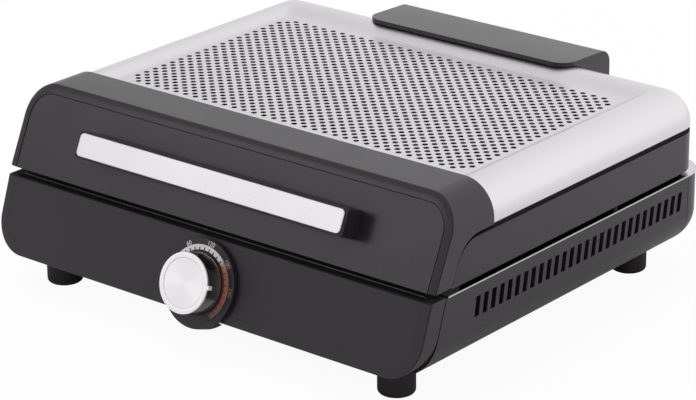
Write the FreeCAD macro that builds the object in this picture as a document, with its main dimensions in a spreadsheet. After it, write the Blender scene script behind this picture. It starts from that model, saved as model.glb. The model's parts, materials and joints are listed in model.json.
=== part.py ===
import FreeCAD, Part
import math
import os
import re
import Sketcher
from FreeCAD import Placement, Rotation, Vector

# An electric grill: a low base with a leaning front and a dial, and a hinged lid with a perforated steel top.
# X runs to the right, -Y to the front and +Z up. The feet stand on Z = 0, under the middle of the whole.
# Lengths are in millimetres. A value whose name ends in share is a ratio.

sizes = {
    # lid, front hood
    "lid_width": 400.0,
    "lid_front": 153.95,
    "lid_lean_share": 0.466,
    "lid_corner": 25.0,
    "hood_bottom": 85.5,
    "hood_top": 146.0,
    "hood_rear": 89.15,
    "hood_wall": 3.0,
    "hood_beam": 6.5,
    "cheek_width": 17.9,
    "cheek_top": 116.5,
    "cheek_bend": 26.0,
    "cheek_seam": 1.0,
    "lid_margin": 6.5,
    "panel_wall": 3.0,
    "panel_step": 1.5,
    "panel_edge": 0.8,
    "seam": 0.35,
    # lid, steel cover and perforated field
    "cover_top": 143.7,
    "cover_bottom": 117.5,
    "cover_rear": 168.15,
    "cover_inset": 0.3,
    "cover_plan_corner": 25.2,
    "cover_roll": 24.6,
    "sheet_wall": 1.0,
    "recess_depth": 4.7,
    "recess_half_width": 164.0,
    "recess_rear": 120.65,
    "recess_ramp": 10.0,
    "field_ledge": 3.0,
    "hole_pitch": 9.547,
    "hole_radius": 2.25,
    "hole_columns": 34,
    "hole_rows": 20,
    "field_front": 67.45,
    # lid, lower frame
    "frame_bottom": 84.0,
    "frame_top": 114.0,
    "frame_wall": 4.4,
    "frame_upstand": 7.5,
    "frame_rabbet": 1.4,
    "frame_inset": 0.4,
    "rail_width": 3.8,
    "rail_height": 12.0,
    "rail_bottom": 96.0,
    "rail_reach": 38.0,
    # lid, handle
    "handle_level": 113.0,
    "handle_length": 251.0,
    "handle_height": 20.5,
    "handle_gap": 11.0,
    "handle_bar": 6.0,
    "handle_post": 22.0,
    "handle_round": 2.4,
    "plate_length": 247.0,
    "plate_height": 17.2,
    "plate_wall": 1.2,
    "plate_corner": 3.5,
    # lid, hinge
    "hinge_y": 181.65,
    "hinge_z": 90.0,
    "pin_radius": 3.0,
    "pin_play": 0.05,
    "pin_start": 66.0,
    "pin_length": 19.5,
    "knuckle_radius": 7.0,
    "arm_start": 68.0,
    "arm_width": 6.5,
    "arm_height": 24.0,
    "arm_foot": 4.0,
    "lug_start": 75.0,
    "lug_width": 8.0,
    "lug_depth": 8.0,
    "lug_drop": 34.0,
    "cover_half_span": 96.6,
    "cap_top": 147.6,
    "cap_fall": 2.0,
    "cap_front": 137.15,
    "cap_rear": 195.35,
    "cap_bottom": 97.0,
    "cap_wall": 3.0,
    "cap_round": 11.0,
    "cap_corner": 14.0,
    "cap_gap": 0.4,
    # base, front
    "base_width": 398.0,
    "base_front": 157.05,
    "base_lean_share": 0.354,
    "base_top": 79.8,
    "base_bottom": 25.5,
    "base_corner": 27.0,
    "base_wall": 3.0,
    "base_margin": 6.5,
    "fascia_depth": 17.5,
    # base, housing
    "housing_top": 78.8,
    "housing_bottom": 22.5,
    "rear_seam": 151.15,
    "base_rear": 180.45,
    "base_plan_corner": 28.0,
    "vent_front": 105.65,
    "vent_pitch": 9.1,
    "vent_count": 28,
    "vent_width": 5.0,
    "vent_bottom": 54.6,
    "vent_height": 14.5,
    "vent_lean_share": 0.16,
    "service_half_width": 110.0,
    "service_half_depth": 75.0,
    "service_lap": 8.0,
    "service_wall": 2.0,
    # base, pan and grill plate
    "flange_wall": 1.0,
    "flange_proud": 0.6,
    "flange_corner": 28.2,
    "flange_front": 138.65,
    "well_half_width": 178.0,
    "well_front": 109.85,
    "well_rear": 140.15,
    "well_floor": 40.8,
    "well_wall": 1.2,
    "well_corner": 22.0,
    "well_round": 12.0,
    "plate_lap": 7.0,
    "plate_play": 2.0,
    "plate_slab": 3.0,
    "rim_height": 3.5,
    "rim_width": 12.0,
    "rib_width": 4.0,
    "rib_pitch": 14.0,
    "rib_count": 24,
    "drain_length": 70.0,
    "drain_width": 4.0,
    # base, heating
    "element_radius": 3.5,
    "element_level": 58.0,
    "element_bend": 22.0,
    "element_end_x": 20.0,
    "element_outer_x": 148.0,
    "element_inner_x": 55.0,
    "element_rear_y": 110.15,
    "element_front_y": 79.85,
    "element_inner_y": 70.15,
    "element_tail": 10.0,
    "element_play": 0.2,
    "bush_radius": 6.0,
    "bush_flange": 9.0,
    "bush_thick": 4.0,
    "bush_nose": 3.0,
    "terminal_radius": 1.6,
    "terminal_length": 14.0,
    "clip_width": 10.0,
    "clip_depth": 12.0,
    # base, dial and knob
    "dial_x": 4.0,
    "dial_z": 48.0,
    "dial_radius": 32.3,
    "dial_hub": 13.0,
    "dial_depth": 6.0,
    "dial_proud": 4.4,
    "dial_skirt": 5.4,
    "ring_radius": 29.0,
    "ring_bore": 10.0,
    "ring_wall": 0.4,
    "knob_radius": 22.4,
    "knob_gap": 0.5,
    "knob_height": 14.2,
    "cap_radius": 21.8,
    "cap_height": 1.4,
    "pointer_length": 2.2,
    "pointer_width": 2.6,
    "pointer_height": 4.5,
    "shaft_radius": 3.0,
    "shaft_length": 38.0,
    "shaft_sunk": 14.0,
    "thermostat_width": 34.0,
    "thermostat_height": 20.0,
    "thermostat_depth": 18.0,
    # base, sensor, leads and gland
    "sensor_radius": 3.0,
    "sensor_length": 60.0,
    "capillary_radius": 1.0,
    "sensor_x": 75.0,
    "sensor_front": 71.85,
    "lead_radius": 1.5,
    "lead_bend": 4.0,
    "lead_level": 31.0,
    "lead_reach": 7.0,
    "block_width": 40.0,
    "block_depth": 25.0,
    "block_height": 10.0,
    "block_x": 50.0,
    "block_y": 110.15,
    "gland_x": 110.0,
    "gland_z": 64.8,
    "gland_radius": 8.0,
    "gland_flange": 11.0,
    "gland_bore": 4.0,
    "gland_proud": 4.0,
    "gland_length": 13.0,
    # feet, rests and screws
    "foot_x": 158.3,
    "foot_front": 142.85,
    "foot_rear": 136.05,
    "foot_radius": 13.4,
    "foot_round": 3.0,
    "foot_recess": 12.0,
    "rest_y": 58.15,
    "rest_radius": 1.8,
    "screw_head": 3.6,
    "screw_head_height": 2.4,
    "screw_radius": 1.9,
    "screw_play": 0.2,
    "screw_grip": 7.0,
    "overrun": 5.0,
}

parallel_share = 0.99
facing_share = 0.9

doc = FreeCAD.newDocument("electric_grill")
sheet = doc.addObject("Spreadsheet::Sheet", "Sizes")
for row, (name, number) in enumerate(sizes.items(), 1):
    sheet.set("A%d" % row, name)
    sheet.set("B%d" % row, str(number))
    sheet.setAlias("B%d" % row, name)
doc.recompute()
size = {name: float(sheet.get(name)) for name in sizes}
nodes = {}


def bound(text):
    """The text as an expression on the sheet's cells."""
    def cell(word):
        return "Sizes." + word.group() if word.group() in sizes else word.group()
    return re.sub("[a-z][a-z_]*", cell, str(text))


def new_body(label):
    body = doc.addObject("PartDesign::Body", label)
    body.Label = label
    nodes[label] = body
    return body


def origin_part(body, role):
    return next(part for part in body.Origin.OriginFeatures if part.Role == role)


def place(piece, x, y, z, turn=Rotation()):
    piece.Placement = Placement(Vector(), turn)
    for axis, text in zip("xyz", (x, y, z)):
        piece.setExpression("Placement.Base." + axis, bound(text))


def new_sketch(body, plane, level):
    sketch = body.newObject("Sketcher::SketchObject", "outline")
    sketch.AttachmentSupport = [(origin_part(body, plane + "_Plane"), "")]
    sketch.MapMode = "FlatFace"
    sketch.setExpression(".AttachmentOffset.Base.z", bound(level))
    return sketch


def fix_point(sketch, line, end, spot, point):
    for kind, start, text in zip(("DistanceX", "DistanceY"), spot, point):
        number = sketch.addConstraint(Sketcher.Constraint(kind, -1, 1, line, end, start))
        sketch.setExpression("Constraints[%d]" % number, bound(text))


def draw(sketch, points):
    """A closed outline whose corners are set by expressions."""
    count = len(points)
    turns = [2 * math.pi * number / count for number in range(count)]
    spots = [Vector(math.cos(turn), math.sin(turn), 0) for turn in turns]
    for number in range(count):
        sketch.addGeometry(Part.LineSegment(spots[number], spots[(number + 1) % count]), False)
    for number in range(count):
        sketch.addConstraint(Sketcher.Constraint("Coincident", number, 2, (number + 1) % count, 1))
    for number, point in enumerate(points):
        fix_point(sketch, number, 1, spots[number], point)


def draw_circle(sketch, centre, radius):
    sketch.addGeometry(Part.Circle(Vector(), Vector(0, 0, 1), 1), False)
    fix_point(sketch, 0, 3, Vector(), centre)
    number = sketch.addConstraint(Sketcher.Constraint("Radius", 0, 1))
    sketch.setExpression("Constraints[%d]" % number, bound(radius))


def extrude(body, sketch, length, cut, both_ways=False):
    """A pad of the sketch, or a pocket that has to take something away."""
    before = body.Shape.Volume if cut else 0
    feature = body.newObject("PartDesign::Pocket" if cut else "PartDesign::Pad", "feature")
    feature.Profile = sketch
    if both_ways:
        feature.SideType = "Symmetric"
    feature.setExpression("Length", bound(length))
    doc.recompute()
    if cut and not feature.Shape.Volume < before:
        raise ValueError("a cut in %s takes nothing away" % body.Label)
    return feature


def levels(plane, low, high, cut):
    # the XZ plane's normal points to the front, against Y
    if plane == "XZ":
        low, high = "-(%s)" % high, "-(%s)" % low
    return high if cut else low


def slab(body, plane, points, low, high, cut=False):
    """A prism on the outline, between two levels across its plane."""
    sketch = new_sketch(body, plane, levels(plane, low, high, cut))
    draw(sketch, points)
    return extrude(body, sketch, "(%s) - (%s)" % (high, low), cut)


def disc(body, plane, centre, radius, low, high, cut=False):
    sketch = new_sketch(body, plane, levels(plane, low, high, cut))
    draw_circle(sketch, centre, radius)
    return extrude(body, sketch, "(%s) - (%s)" % (high, low), cut)


def leaning_bore(body, x, y, z, turn, radius, reach):
    """A round hole square to a leaning face, to the same depth on both sides of the point."""
    sketch = new_sketch(body, "XY", z)
    sketch.AttachmentOffset = Placement(sketch.AttachmentOffset.Base, turn)
    sketch.setExpression(".AttachmentOffset.Base.x", bound(x))
    sketch.setExpression(".AttachmentOffset.Base.y", bound(y))
    draw_circle(sketch, ("0", "0"), radius)
    return extrude(body, sketch, "2 * (%s)" % reach, cut=True, both_ways=True)


def rectangle(left, low, right, high):
    return [(left, low), (right, low), (right, high), (left, high)]


def rounded_opening(body, plane, half, start, end, corner, low, high, round_start, round_end):
    """Cuts a rectangle with round corners at its start, its end or both, out of bars and discs."""
    narrow = "%s - (%s)" % (half, corner)
    wide_start = "%s + %s" % (start, corner if round_start else "0")
    wide_end = "%s - %s" % (end, corner if round_end else "0")
    slab(body, plane, rectangle("-(%s)" % half, wide_start, half, wide_end), low, high, cut=True)
    for level, rounded, outline in (
            (wide_start, round_start, (start, wide_start)), (wide_end, round_end, (wide_end, end))):
        if rounded:
            slab(body, plane, rectangle("-(%s)" % narrow, outline[0], narrow, outline[1]), low, high, cut=True)
            for sign in ("-", ""):
                disc(body, plane, ("%s(%s)" % (sign, narrow), level), corner, low, high, cut=True)


def runs(edge, axis):
    if edge.Curve.TypeId != "Part::GeomLine":
        return False
    return abs(getattr(edge.tangentAt(edge.FirstParameter), axis)) > parallel_share


def looks(face, way):
    if face.Surface.TypeId != "Part::GeomPlane":
        return False
    return face.normalAt(0, 0).dot(way) > facing_share


def named(kind, members, chosen):
    return ["%s%d" % (kind, number) for number, member in enumerate(members, 1) if chosen(member)]


def round_edges(body, chosen, radius):
    base = body.Tip
    fillet = body.newObject("PartDesign::Fillet", "rounding")
    fillet.Base = (base, named("Edge", base.Shape.Edges, chosen))
    fillet.setExpression("Radius", bound(radius))
    doc.recompute()


def hollow(body, opened, wall):
    """Leaves a wall of even thickness, open at the chosen faces."""
    base = body.Tip
    shell = body.newObject("PartDesign::Thickness", "shell")
    shell.Base = (base, named("Face", base.Shape.Faces, opened))
    shell.setExpression("Value", bound(wall))
    shell.Reversed = True
    shell.Join = 1
    doc.recompute()


def rod(radius, length, x, y, z, turn=Rotation()):
    piece = doc.addObject("Part::Cylinder", "rod")
    piece.setExpression("Radius", bound(radius))
    piece.setExpression("Height", bound(length))
    place(piece, x, y, z, turn)
    return piece


def block(x0, y0, z0, x1, y1, z1):
    piece = doc.addObject("Part::Box", "block")
    for side, low, high in zip(("Length", "Width", "Height"), (x0, y0, z0), (x1, y1, z1)):
        piece.setExpression(side, bound("(%s) - (%s)" % (high, low)))
    place(piece, x0, y0, z0)
    return piece


def combine(kind, base, tool):
    piece = doc.addObject(kind, "combined")
    piece.Base = base
    piece.Tool = tool
    return piece


def keep(label, piece):
    piece.Label = label
    nodes[label] = piece


def group(label, pieces):
    """Like pieces that share one node and stay separate solids."""
    together = doc.addObject("Part::Compound", label)
    together.Links = pieces
    keep(label, together)


def screw(x, y, z, turn, grip):
    """A round head behind the point and a shank of the given grip ahead of it."""
    head = rod("screw_head", "screw_head_height", "0", "0", "-screw_head_height")
    shank = rod("screw_radius", grip, "0", "0", "0")
    piece = combine("Part::Fuse", head, shank)
    place(piece, x, y, z, turn)
    return piece


def shaped(label, shape):
    piece = doc.addObject("Part::Feature", label)
    piece.Shape = shape
    piece.Placement = Placement()
    keep(label, piece)
    return piece


def tube(points, radius, bend):
    """A round bar along straight runs joined by tangent arcs."""
    edges = []
    start = points[0]
    for before, corner, after in zip(points, points[1:], points[2:]):
        back = (before - corner).normalize()
        ahead = (after - corner).normalize()
        half = back.getAngle(ahead) / 2
        first = corner + back * (bend / math.tan(half))
        last = corner + ahead * (bend / math.tan(half))
        middle = corner + (back + ahead).normalize() * (bend / math.sin(half) - bend)
        edges.append(Part.LineSegment(start, first).toShape())
        edges.append(Part.Arc(first, middle, last).toShape())
        start = last
    edges.append(Part.LineSegment(start, points[-1]).toShape())
    path = Part.Wire(edges)
    section = Part.Wire(Part.Circle(points[0], points[1] - points[0], radius).toShape())
    bar = path.makePipeShell([section], True, False)
    expected = math.pi * radius ** 2 * path.Length
    print("tube volume over section times length", round(bar.Volume / expected, 4))
    return bar


# Turns that bring a piece's own Z onto a direction of the whole.
lid_turn = Rotation(Vector(1, 0, 0), 90 - math.degrees(math.atan(size["lid_lean_share"])))
base_turn = Rotation(Vector(1, 0, 0), 90 - math.degrees(math.atan(size["base_lean_share"])))
up_turn = Rotation()
to_front = Rotation(Vector(1, 0, 0), 90)
to_rear = Rotation(Vector(1, 0, 0), -90)
to_right = Rotation(Vector(0, 1, 0), 90)

# Places that several pieces share.
lid_half = "lid_width / 2"
base_half = "base_width / 2"
lid_slant = "sqrt(1 + lid_lean_share ^ 2)"
base_slant = "sqrt(1 + base_lean_share ^ 2)"
lid_step = "panel_step * " + lid_slant
base_step = "panel_step * " + base_slant


def lid_face(level):
    """The lid's front plane at a level: its Y, further back the higher it is."""
    return "(-lid_front + lid_lean_share * ((%s) - hood_bottom))" % level


def base_face(level):
    """The base's front plane at a level: its Y, further forward the lower it is."""
    return "(-base_front - base_lean_share * (base_top - (%s)))" % level


def wedge(body, face, shift, low, high, half, towards_rear):
    """Cuts away all that lies in front of a leaning plane, or all that lies behind it."""
    far = "lid_front + overrun" if towards_rear else "-base_rear - overrun"
    slab(body, "YZ", [
        (face(low + " - overrun") + " + " + shift, low + " - overrun"),
        (face(high + " + overrun") + " + " + shift, high + " + overrun"),
        (far, high + " + overrun"), (far, low + " - overrun"),
    ], "-(%s) - overrun" % half, half + " + overrun", cut=True)


def leaning_plate(face, near, far, low, high, half, corner, top_rounded):
    """A plate between two depths behind a leaning plane, with its two upper or lower corners rounded."""
    body = doc.addObject("PartDesign::Body", "leaning_plate")
    slab(body, "XZ", rectangle("-(%s)" % half, low, half, high),
         "%s + %s" % (face(low), near), "%s + %s" % (face(high), far))
    middle = body.Shape.BoundBox.Center.z
    round_edges(body, lambda edge: runs(edge, "y") and (edge.CenterOfMass.z > middle) == top_rounded, corner)
    wedge(body, face, near, low, high, half, towards_rear=False)
    wedge(body, face, far, low, high, half, towards_rear=True)
    return body


def front_panel(label, face, slant, plate, plug, top_rounded):
    """A plate over a whole front, with a plug behind it that fills the window of its frame.

    plate and plug each give their lowest and highest level, half width and corner radius."""
    step = "panel_step * " + slant
    back = "(panel_step + panel_wall) * " + slant
    front_plate = leaning_plate(face, "0", step, *plate, top_rounded)
    back_plate = leaning_plate(face, step, back, *plug, top_rounded)
    keep(label, combine("Part::Fuse", front_plate, back_plate))
    return front_plate, back_plate


# Lid hood: a block with round shoulders, cut to the leaning front, hollowed from below, trimmed at the cheeks.
hood = new_body("lid_hood")
slab(hood, "XZ", rectangle("-" + lid_half, "hood_bottom", lid_half, "hood_top"), "-lid_front", "-hood_rear")
hood_middle = (size["hood_bottom"] + size["hood_top"]) / 2
round_edges(hood, lambda edge: runs(edge, "y") and edge.CenterOfMass.z > hood_middle, "lid_corner")
slab(hood, "YZ", [
    ("%s + %s" % (lid_face("hood_bottom - overrun"), lid_step), "hood_bottom - overrun"),
    ("%s + %s" % (lid_face("hood_top + overrun"), lid_step), "hood_top + overrun"),
    ("-lid_front - overrun", "hood_top + overrun"),
], "-%s - overrun" % lid_half, lid_half + " + overrun", cut=True)
hollow(hood, lambda face: looks(face, Vector(0, 0, -1)), "hood_wall")
rounded_opening(
    hood, "XZ", lid_half + " - hood_wall", "hood_bottom - overrun", "hood_top - hood_wall - hood_beam",
    "(lid_corner - hood_wall)",
    "-hood_rear - hood_wall - overrun", "-hood_rear + overrun", round_start=False, round_end=True)
slab(hood, "YZ", [
    (lid_face("hood_bottom - overrun") + " + cheek_width", "hood_bottom - overrun"),
    (lid_face("cheek_top") + " + cheek_width", "cheek_top"),
    ("-hood_rear + overrun", "cheek_top"),
    ("-hood_rear + overrun", "hood_bottom - overrun"),
], "-%s - overrun" % lid_half, lid_half + " + overrun", cut=True)
cheek_corner = -size["lid_front"] + size["lid_lean_share"] * (size["cheek_top"] - size["hood_bottom"])
cheek_corner += size["cheek_width"]


def at_cheek(edge):
    spot = edge.CenterOfMass - Vector(edge.CenterOfMass.x, cheek_corner, size["cheek_top"])
    return runs(edge, "x") and spot.Length < size["seam"]


round_edges(hood, at_cheek, "cheek_bend")
rounded_opening(
    hood, "XZ", lid_half + " - lid_margin", "hood_bottom - overrun", "hood_top - lid_margin",
    "(lid_corner - lid_margin)",
    "-lid_front - overrun", "-hood_rear - hood_wall - seam", round_start=False, round_end=True)

lid_plates = front_panel(
    "lid_front_panel", lid_face, lid_slant,
    ("hood_bottom", "hood_top - panel_edge", lid_half + " - panel_edge", "lid_corner - panel_edge"),
    ("hood_bottom", "hood_top - lid_margin - seam", lid_half + " - lid_margin - seam",
     "lid_corner - lid_margin - seam"),
    top_rounded=True)

# Steel cover: pressed with rolled sides and rear, and a recess with sloping sides that runs out under the hood.
cover = new_body("lid_cover")
cover_half = "(%s - cover_inset)" % lid_half
cover_front = "(-hood_rear + seam)"
slab(cover, "XY", rectangle("-" + cover_half, cover_front, cover_half, "cover_rear"),
     "cover_bottom", "cover_top")
cover_middle = (size["cover_rear"] - size["hood_rear"]) / 2
round_edges(cover, lambda edge: runs(edge, "z") and edge.CenterOfMass.y > cover_middle, "cover_plan_corner")


def top_rim(edge):
    spot = edge.CenterOfMass
    return spot.z > size["cover_top"] - size["seam"] and spot.y > -size["hood_rear"] + 2 * size["seam"]


round_edges(cover, top_rim, "cover_roll")
hollow(cover, lambda face: looks(face, Vector(0, 0, -1)) or looks(face, Vector(0, -1, 0)), "sheet_wall")


def pressed_step(kind, start, sunk, wider):
    """Adds or takes a tray whose sides slope from the steel's top down to the field."""
    outlines = []
    for level, widening in (("cover_top", "recess_ramp + " + wider), ("cover_top - " + sunk, wider)):
        outline = new_sketch(cover, "XY", level)
        draw(outline, rectangle(
            "-recess_half_width - " + widening.replace("+", "-"), start,
            "recess_half_width + " + widening, "recess_rear + " + widening))
        outlines.append(outline)
    step = cover.newObject(kind, "pressed_step")
    step.Profile = outlines[0]
    step.Sections = outlines[1:]
    step.Ruled = True
    doc.recompute()


pressed_step("PartDesign::AdditiveLoft", cover_front, "(recess_depth + sheet_wall)", "sheet_wall")
pressed_step("PartDesign::SubtractiveLoft", cover_front + " - overrun", "recess_depth", "0")
slab(cover, "XY", rectangle(
    "-recess_half_width + field_ledge", cover_front + " - overrun",
    "recess_half_width - field_ledge", "recess_rear - field_ledge",
), "cover_top - recess_depth - sheet_wall - seam", "cover_top - recess_depth + seam", cut=True)


def perforated_sheet():
    """A flat sheet with a square lattice of round holes and a hole in the middle of each square.

    It is made of strips, one for each row of holes, that are joined at the end."""
    half = size["recess_half_width"] - size["seam"]
    front = -size["hood_rear"] + size["seam"]
    rear = size["recess_rear"] - size["seam"]
    level = size["cover_top"] - size["recess_depth"] - size["sheet_wall"]
    pitch = size["hole_pitch"]
    columns = int(size["hole_columns"])
    rows = 2 * int(size["hole_rows"]) - 1
    strips = []
    for row in range(rows):
        shift = row % 2
        along = -size["field_front"] + row * pitch / 2
        low = along - pitch / 4 if row > 0 else front
        high = along + pitch / 4 if row < rows - 1 else rear
        corners = [Vector(x, y, level) for x, y in ((-half, low), (half, low), (half, high), (-half, high))]
        wires = [Part.makePolygon(corners + corners[:1])]
        for column in range(columns - shift):
            spot = Vector((column + shift / 2 - (columns - 1) / 2) * pitch, along, level)
            wires.append(Part.Wire(Part.Circle(spot, Vector(0, 0, 1), size["hole_radius"]).toShape()))
        face = Part.makeFace(wires, "Part::FaceMakerBullseye")
        strips.append(face.extrude(Vector(0, 0, -size["sheet_wall"])))
    return strips[0].multiFuse(strips[1:]).Solids[0]


shaped("grille_panel", perforated_sheet())

# Lower frame of the lid: side and rear walls, an upstand behind the steel's edge and two rails into the hood.
frame = new_body("lid_frame")
frame_half = "(%s - frame_inset)" % lid_half
frame_rear = "(cover_rear - frame_inset)"
slab(frame, "XY", rectangle(
    "-%s + frame_rabbet" % frame_half, "-hood_rear + 2 * seam",
    frame_half + " - frame_rabbet", frame_rear + " - frame_rabbet",
), "frame_bottom", "frame_top + frame_upstand")
round_edges(frame, lambda edge: runs(edge, "z") and edge.CenterOfMass.y > 0,
            "cover_plan_corner - frame_inset - frame_rabbet")
slab(frame, "XY", rectangle("-" + frame_half, "-lid_front", frame_half, frame_rear),
     "frame_bottom", "frame_top")
frame_side = size["lid_width"] / 2 - size["frame_inset"]


def skirt_corner(edge):
    return runs(edge, "z") and edge.CenterOfMass.y > 0 and abs(edge.CenterOfMass.x) > frame_side - size["seam"]


round_edges(frame, skirt_corner, "cover_plan_corner - frame_inset")
rounded_opening(
    frame, "XY", frame_half + " - frame_wall", "-lid_front - overrun", frame_rear + " - frame_wall",
    "(cover_plan_corner - frame_inset - frame_wall)",
    "frame_bottom - overrun", "frame_top + frame_upstand + overrun", round_start=False, round_end=True)
slab(frame, "YZ", [
    (lid_face("frame_bottom - overrun") + " + cheek_width + cheek_seam", "frame_bottom - overrun"),
    (lid_face("frame_top + overrun") + " + cheek_width + cheek_seam", "frame_top + overrun"),
    ("-lid_front - overrun", "frame_top + overrun"),
    ("-lid_front - overrun", "frame_bottom - overrun"),
], "-%s - overrun" % lid_half, lid_half + " + overrun", cut=True)
frame_corner = cheek_corner + size["lid_lean_share"] * (size["frame_top"] - size["cheek_top"])
frame_corner += size["cheek_seam"]


def at_frame_corner(edge):
    spot = edge.CenterOfMass - Vector(edge.CenterOfMass.x, frame_corner, size["frame_top"])
    return runs(edge, "x") and spot.Length < size["seam"]


round_edges(frame, at_frame_corner, "cheek_bend - cheek_seam")
rail_outer = "(%s - hood_wall - seam)" % lid_half
for left, right in (("-" + rail_outer, "-%s + rail_width" % rail_outer),
                    (rail_outer + " - rail_width", rail_outer)):
    slab(frame, "XY", rectangle(left, "-hood_rear - rail_reach", right, "-hood_rear + rail_height"),
         "rail_bottom", "rail_bottom + rail_height")

# Handle: a bar on two end posts, so that fingers pass behind it, with a bright plate on its front.
handle_y = lid_face("handle_level")
bar = new_body("handle_bar")
slab(bar, "XY", rectangle("-handle_length / 2", "-handle_height / 2", "handle_length / 2", "handle_height / 2"),
     "handle_gap", "handle_gap + handle_bar")
for left, right in (("-handle_length / 2", "-handle_length / 2 + handle_post"),
                    ("handle_length / 2 - handle_post", "handle_length / 2")):
    slab(bar, "XY", rectangle(left, "-handle_height / 2", right, "handle_height / 2"), "0", "handle_gap")
bar_end = size["handle_length"] / 2 - size["seam"]
round_edges(bar, lambda edge: runs(edge, "z") and abs(edge.CenterOfMass.x) > bar_end, "handle_round")
post_x = "(handle_length / 2 - handle_post / 2)"
for sign in ("-", ""):
    disc(bar, "XY", (sign + post_x, "0"), "screw_radius + screw_play",
         "-seam", "screw_grip + screw_play", cut=True)
    for body in lid_plates:
        leaning_bore(body, sign + post_x, handle_y, "handle_level", lid_turn,
                     "screw_radius + screw_play", "panel_step + panel_wall + overrun")
place(bar, "0", handle_y, "handle_level", lid_turn)

plate = new_body("handle_plate")
slab(plate, "XY", rectangle("-plate_length / 2", "-plate_height / 2", "plate_length / 2", "plate_height / 2"),
     "handle_gap + handle_bar", "handle_gap + handle_bar + plate_wall")
round_edges(plate, lambda edge: runs(edge, "z"), "plate_corner")
place(plate, "0", handle_y, "handle_level", lid_turn)

panel_back = "((panel_step + panel_wall) / %s)" % lid_slant
group("handle_screws", [
    screw(sign + post_x, "%s + %s" % (handle_y, panel_back), "handle_level - %s * lid_lean_share" % panel_back,
          lid_turn, "panel_step + panel_wall + screw_grip")
    for sign in ("-", "")])

# Hinge cover: a cap that laps over the steel's rear edge and hides the hinge, open below and towards the lid.
cap = new_body("hinge_cover")
steel_back = "(cover_rear + cap_gap)"
steel_top = "(cover_top + cap_gap)"
slab(cap, "YZ", [
    ("cap_front", steel_top), (steel_back, steel_top), (steel_back, "cap_bottom"),
    ("cap_rear", "cap_bottom"), ("cap_rear", "cap_top - cap_fall"), ("cap_front", "cap_top"),
], "-cover_half_span", "cover_half_span")


def at_yz(y, z):
    def chosen(edge):
        spot = edge.CenterOfMass - Vector(edge.CenterOfMass.x, y, z)
        return runs(edge, "x") and spot.Length < size["seam"]
    return chosen


round_edges(cap, at_yz(size["cover_rear"] + size["cap_gap"], size["cover_top"] + size["cap_gap"]),
            "cover_roll + cap_gap")
round_edges(cap, at_yz(size["cap_rear"], size["cap_top"] - size["cap_fall"]), "cap_round")
round_edges(cap, lambda edge: runs(edge, "z") and edge.CenterOfMass.y < size["cap_front"] + size["seam"],
            "cap_corner")
slab(cap, "YZ", [
    ("cover_rear - cover_roll", "cap_bottom - overrun"),
    ("cap_rear - cap_wall", "cap_bottom - overrun"),
    ("cap_rear - cap_wall", "cap_top - cap_fall - cap_round"),
    ("cap_rear - cap_round", "cap_top - cap_fall - cap_wall"),
    ("cover_rear - cover_roll", "cap_top - cap_fall - cap_wall"),
], "-cover_half_span + cap_wall", "cover_half_span - cap_wall", cut=True)

# Hinge: lugs inside the base's rear wall, arms on the lid frame and a pin through each pair.
for side, sign in (("left", -1), ("right", 1)):

    def span(start, width, sign=sign):
        return (start, "%s + %s" % (start, width)) if sign > 0 else ("-%s - %s" % (start, width), "-" + start)

    low, high = span("lug_start", "lug_width")
    lug = new_body("hinge_lug_" + side)
    lug_back = "(base_rear - base_wall)"
    slab(lug, "YZ", [
        (lug_back + " - lug_depth", "hinge_z - lug_drop"), (lug_back, "hinge_z - lug_drop"),
        (lug_back, "hinge_z - knuckle_radius - screw_head_height"),
        ("hinge_y + knuckle_radius / 2", "hinge_z - knuckle_radius / 2"),
        ("hinge_y", "hinge_z"), ("hinge_y - knuckle_radius", "hinge_z"),
    ], low, high)
    disc(lug, "YZ", ("hinge_y", "hinge_z"), "knuckle_radius", low, high)
    disc(lug, "YZ", ("hinge_y", "hinge_z"), "pin_radius + pin_play",
         low + " - overrun", high + " + overrun", cut=True)

    low, high = span("arm_start", "arm_width")
    arm = new_body("hinge_arm_" + side)
    slab(arm, "YZ", [
        (frame_rear, "hinge_z - knuckle_radius / 2"), ("hinge_y", "hinge_z - knuckle_radius / 2"),
        ("hinge_y", "hinge_z + knuckle_radius / 2"),
        (frame_rear + " + arm_foot", "hinge_z - knuckle_radius / 2 + arm_height"),
        (frame_rear, "hinge_z - knuckle_radius / 2 + arm_height"),
    ], low, high)
    disc(arm, "YZ", ("hinge_y", "hinge_z"), "knuckle_radius", low, high)
    disc(arm, "YZ", ("hinge_y", "hinge_z"), "pin_radius + pin_play",
         low + " - overrun", high + " + overrun", cut=True)

    low, high = span("pin_start", "pin_length")
    keep("hinge_pin_" + side, rod("pin_radius", "pin_length", low, "hinge_y", "hinge_z", to_right))

# Front of the base: a leaning fascia with a window, and the control panel set into it.
fascia = new_body("front_fascia")
slab(fascia, "XZ", rectangle("-" + base_half, "base_bottom", base_half, "base_top"),
     base_face("base_bottom"), "-base_front + fascia_depth")
base_middle = (size["base_bottom"] + size["base_top"]) / 2
round_edges(fascia, lambda edge: runs(edge, "y") and edge.CenterOfMass.z < base_middle, "base_corner")
slab(fascia, "YZ", [
    ("%s + %s" % (base_face("base_bottom - overrun"), base_step), "base_bottom - overrun"),
    ("%s + %s" % (base_face("base_top + overrun"), base_step), "base_top + overrun"),
    (base_face("base_bottom - overrun") + " - overrun", "base_top + overrun"),
    (base_face("base_bottom - overrun") + " - overrun", "base_bottom - overrun"),
], "-%s - overrun" % base_half, base_half + " + overrun", cut=True)
slab(fascia, "YZ", [
    (base_face("base_bottom - overrun") + " + fascia_depth", "base_bottom - overrun"),
    ("-base_front + fascia_depth + overrun", "base_bottom - overrun"),
    ("-base_front + fascia_depth + overrun", "base_top + overrun"),
    (base_face("base_top + overrun") + " + fascia_depth", "base_top + overrun"),
], "-%s - overrun" % base_half, base_half + " + overrun", cut=True)
hollow(fascia, lambda face: looks(face, Vector(0, 1, 0)), "base_wall")
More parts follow.
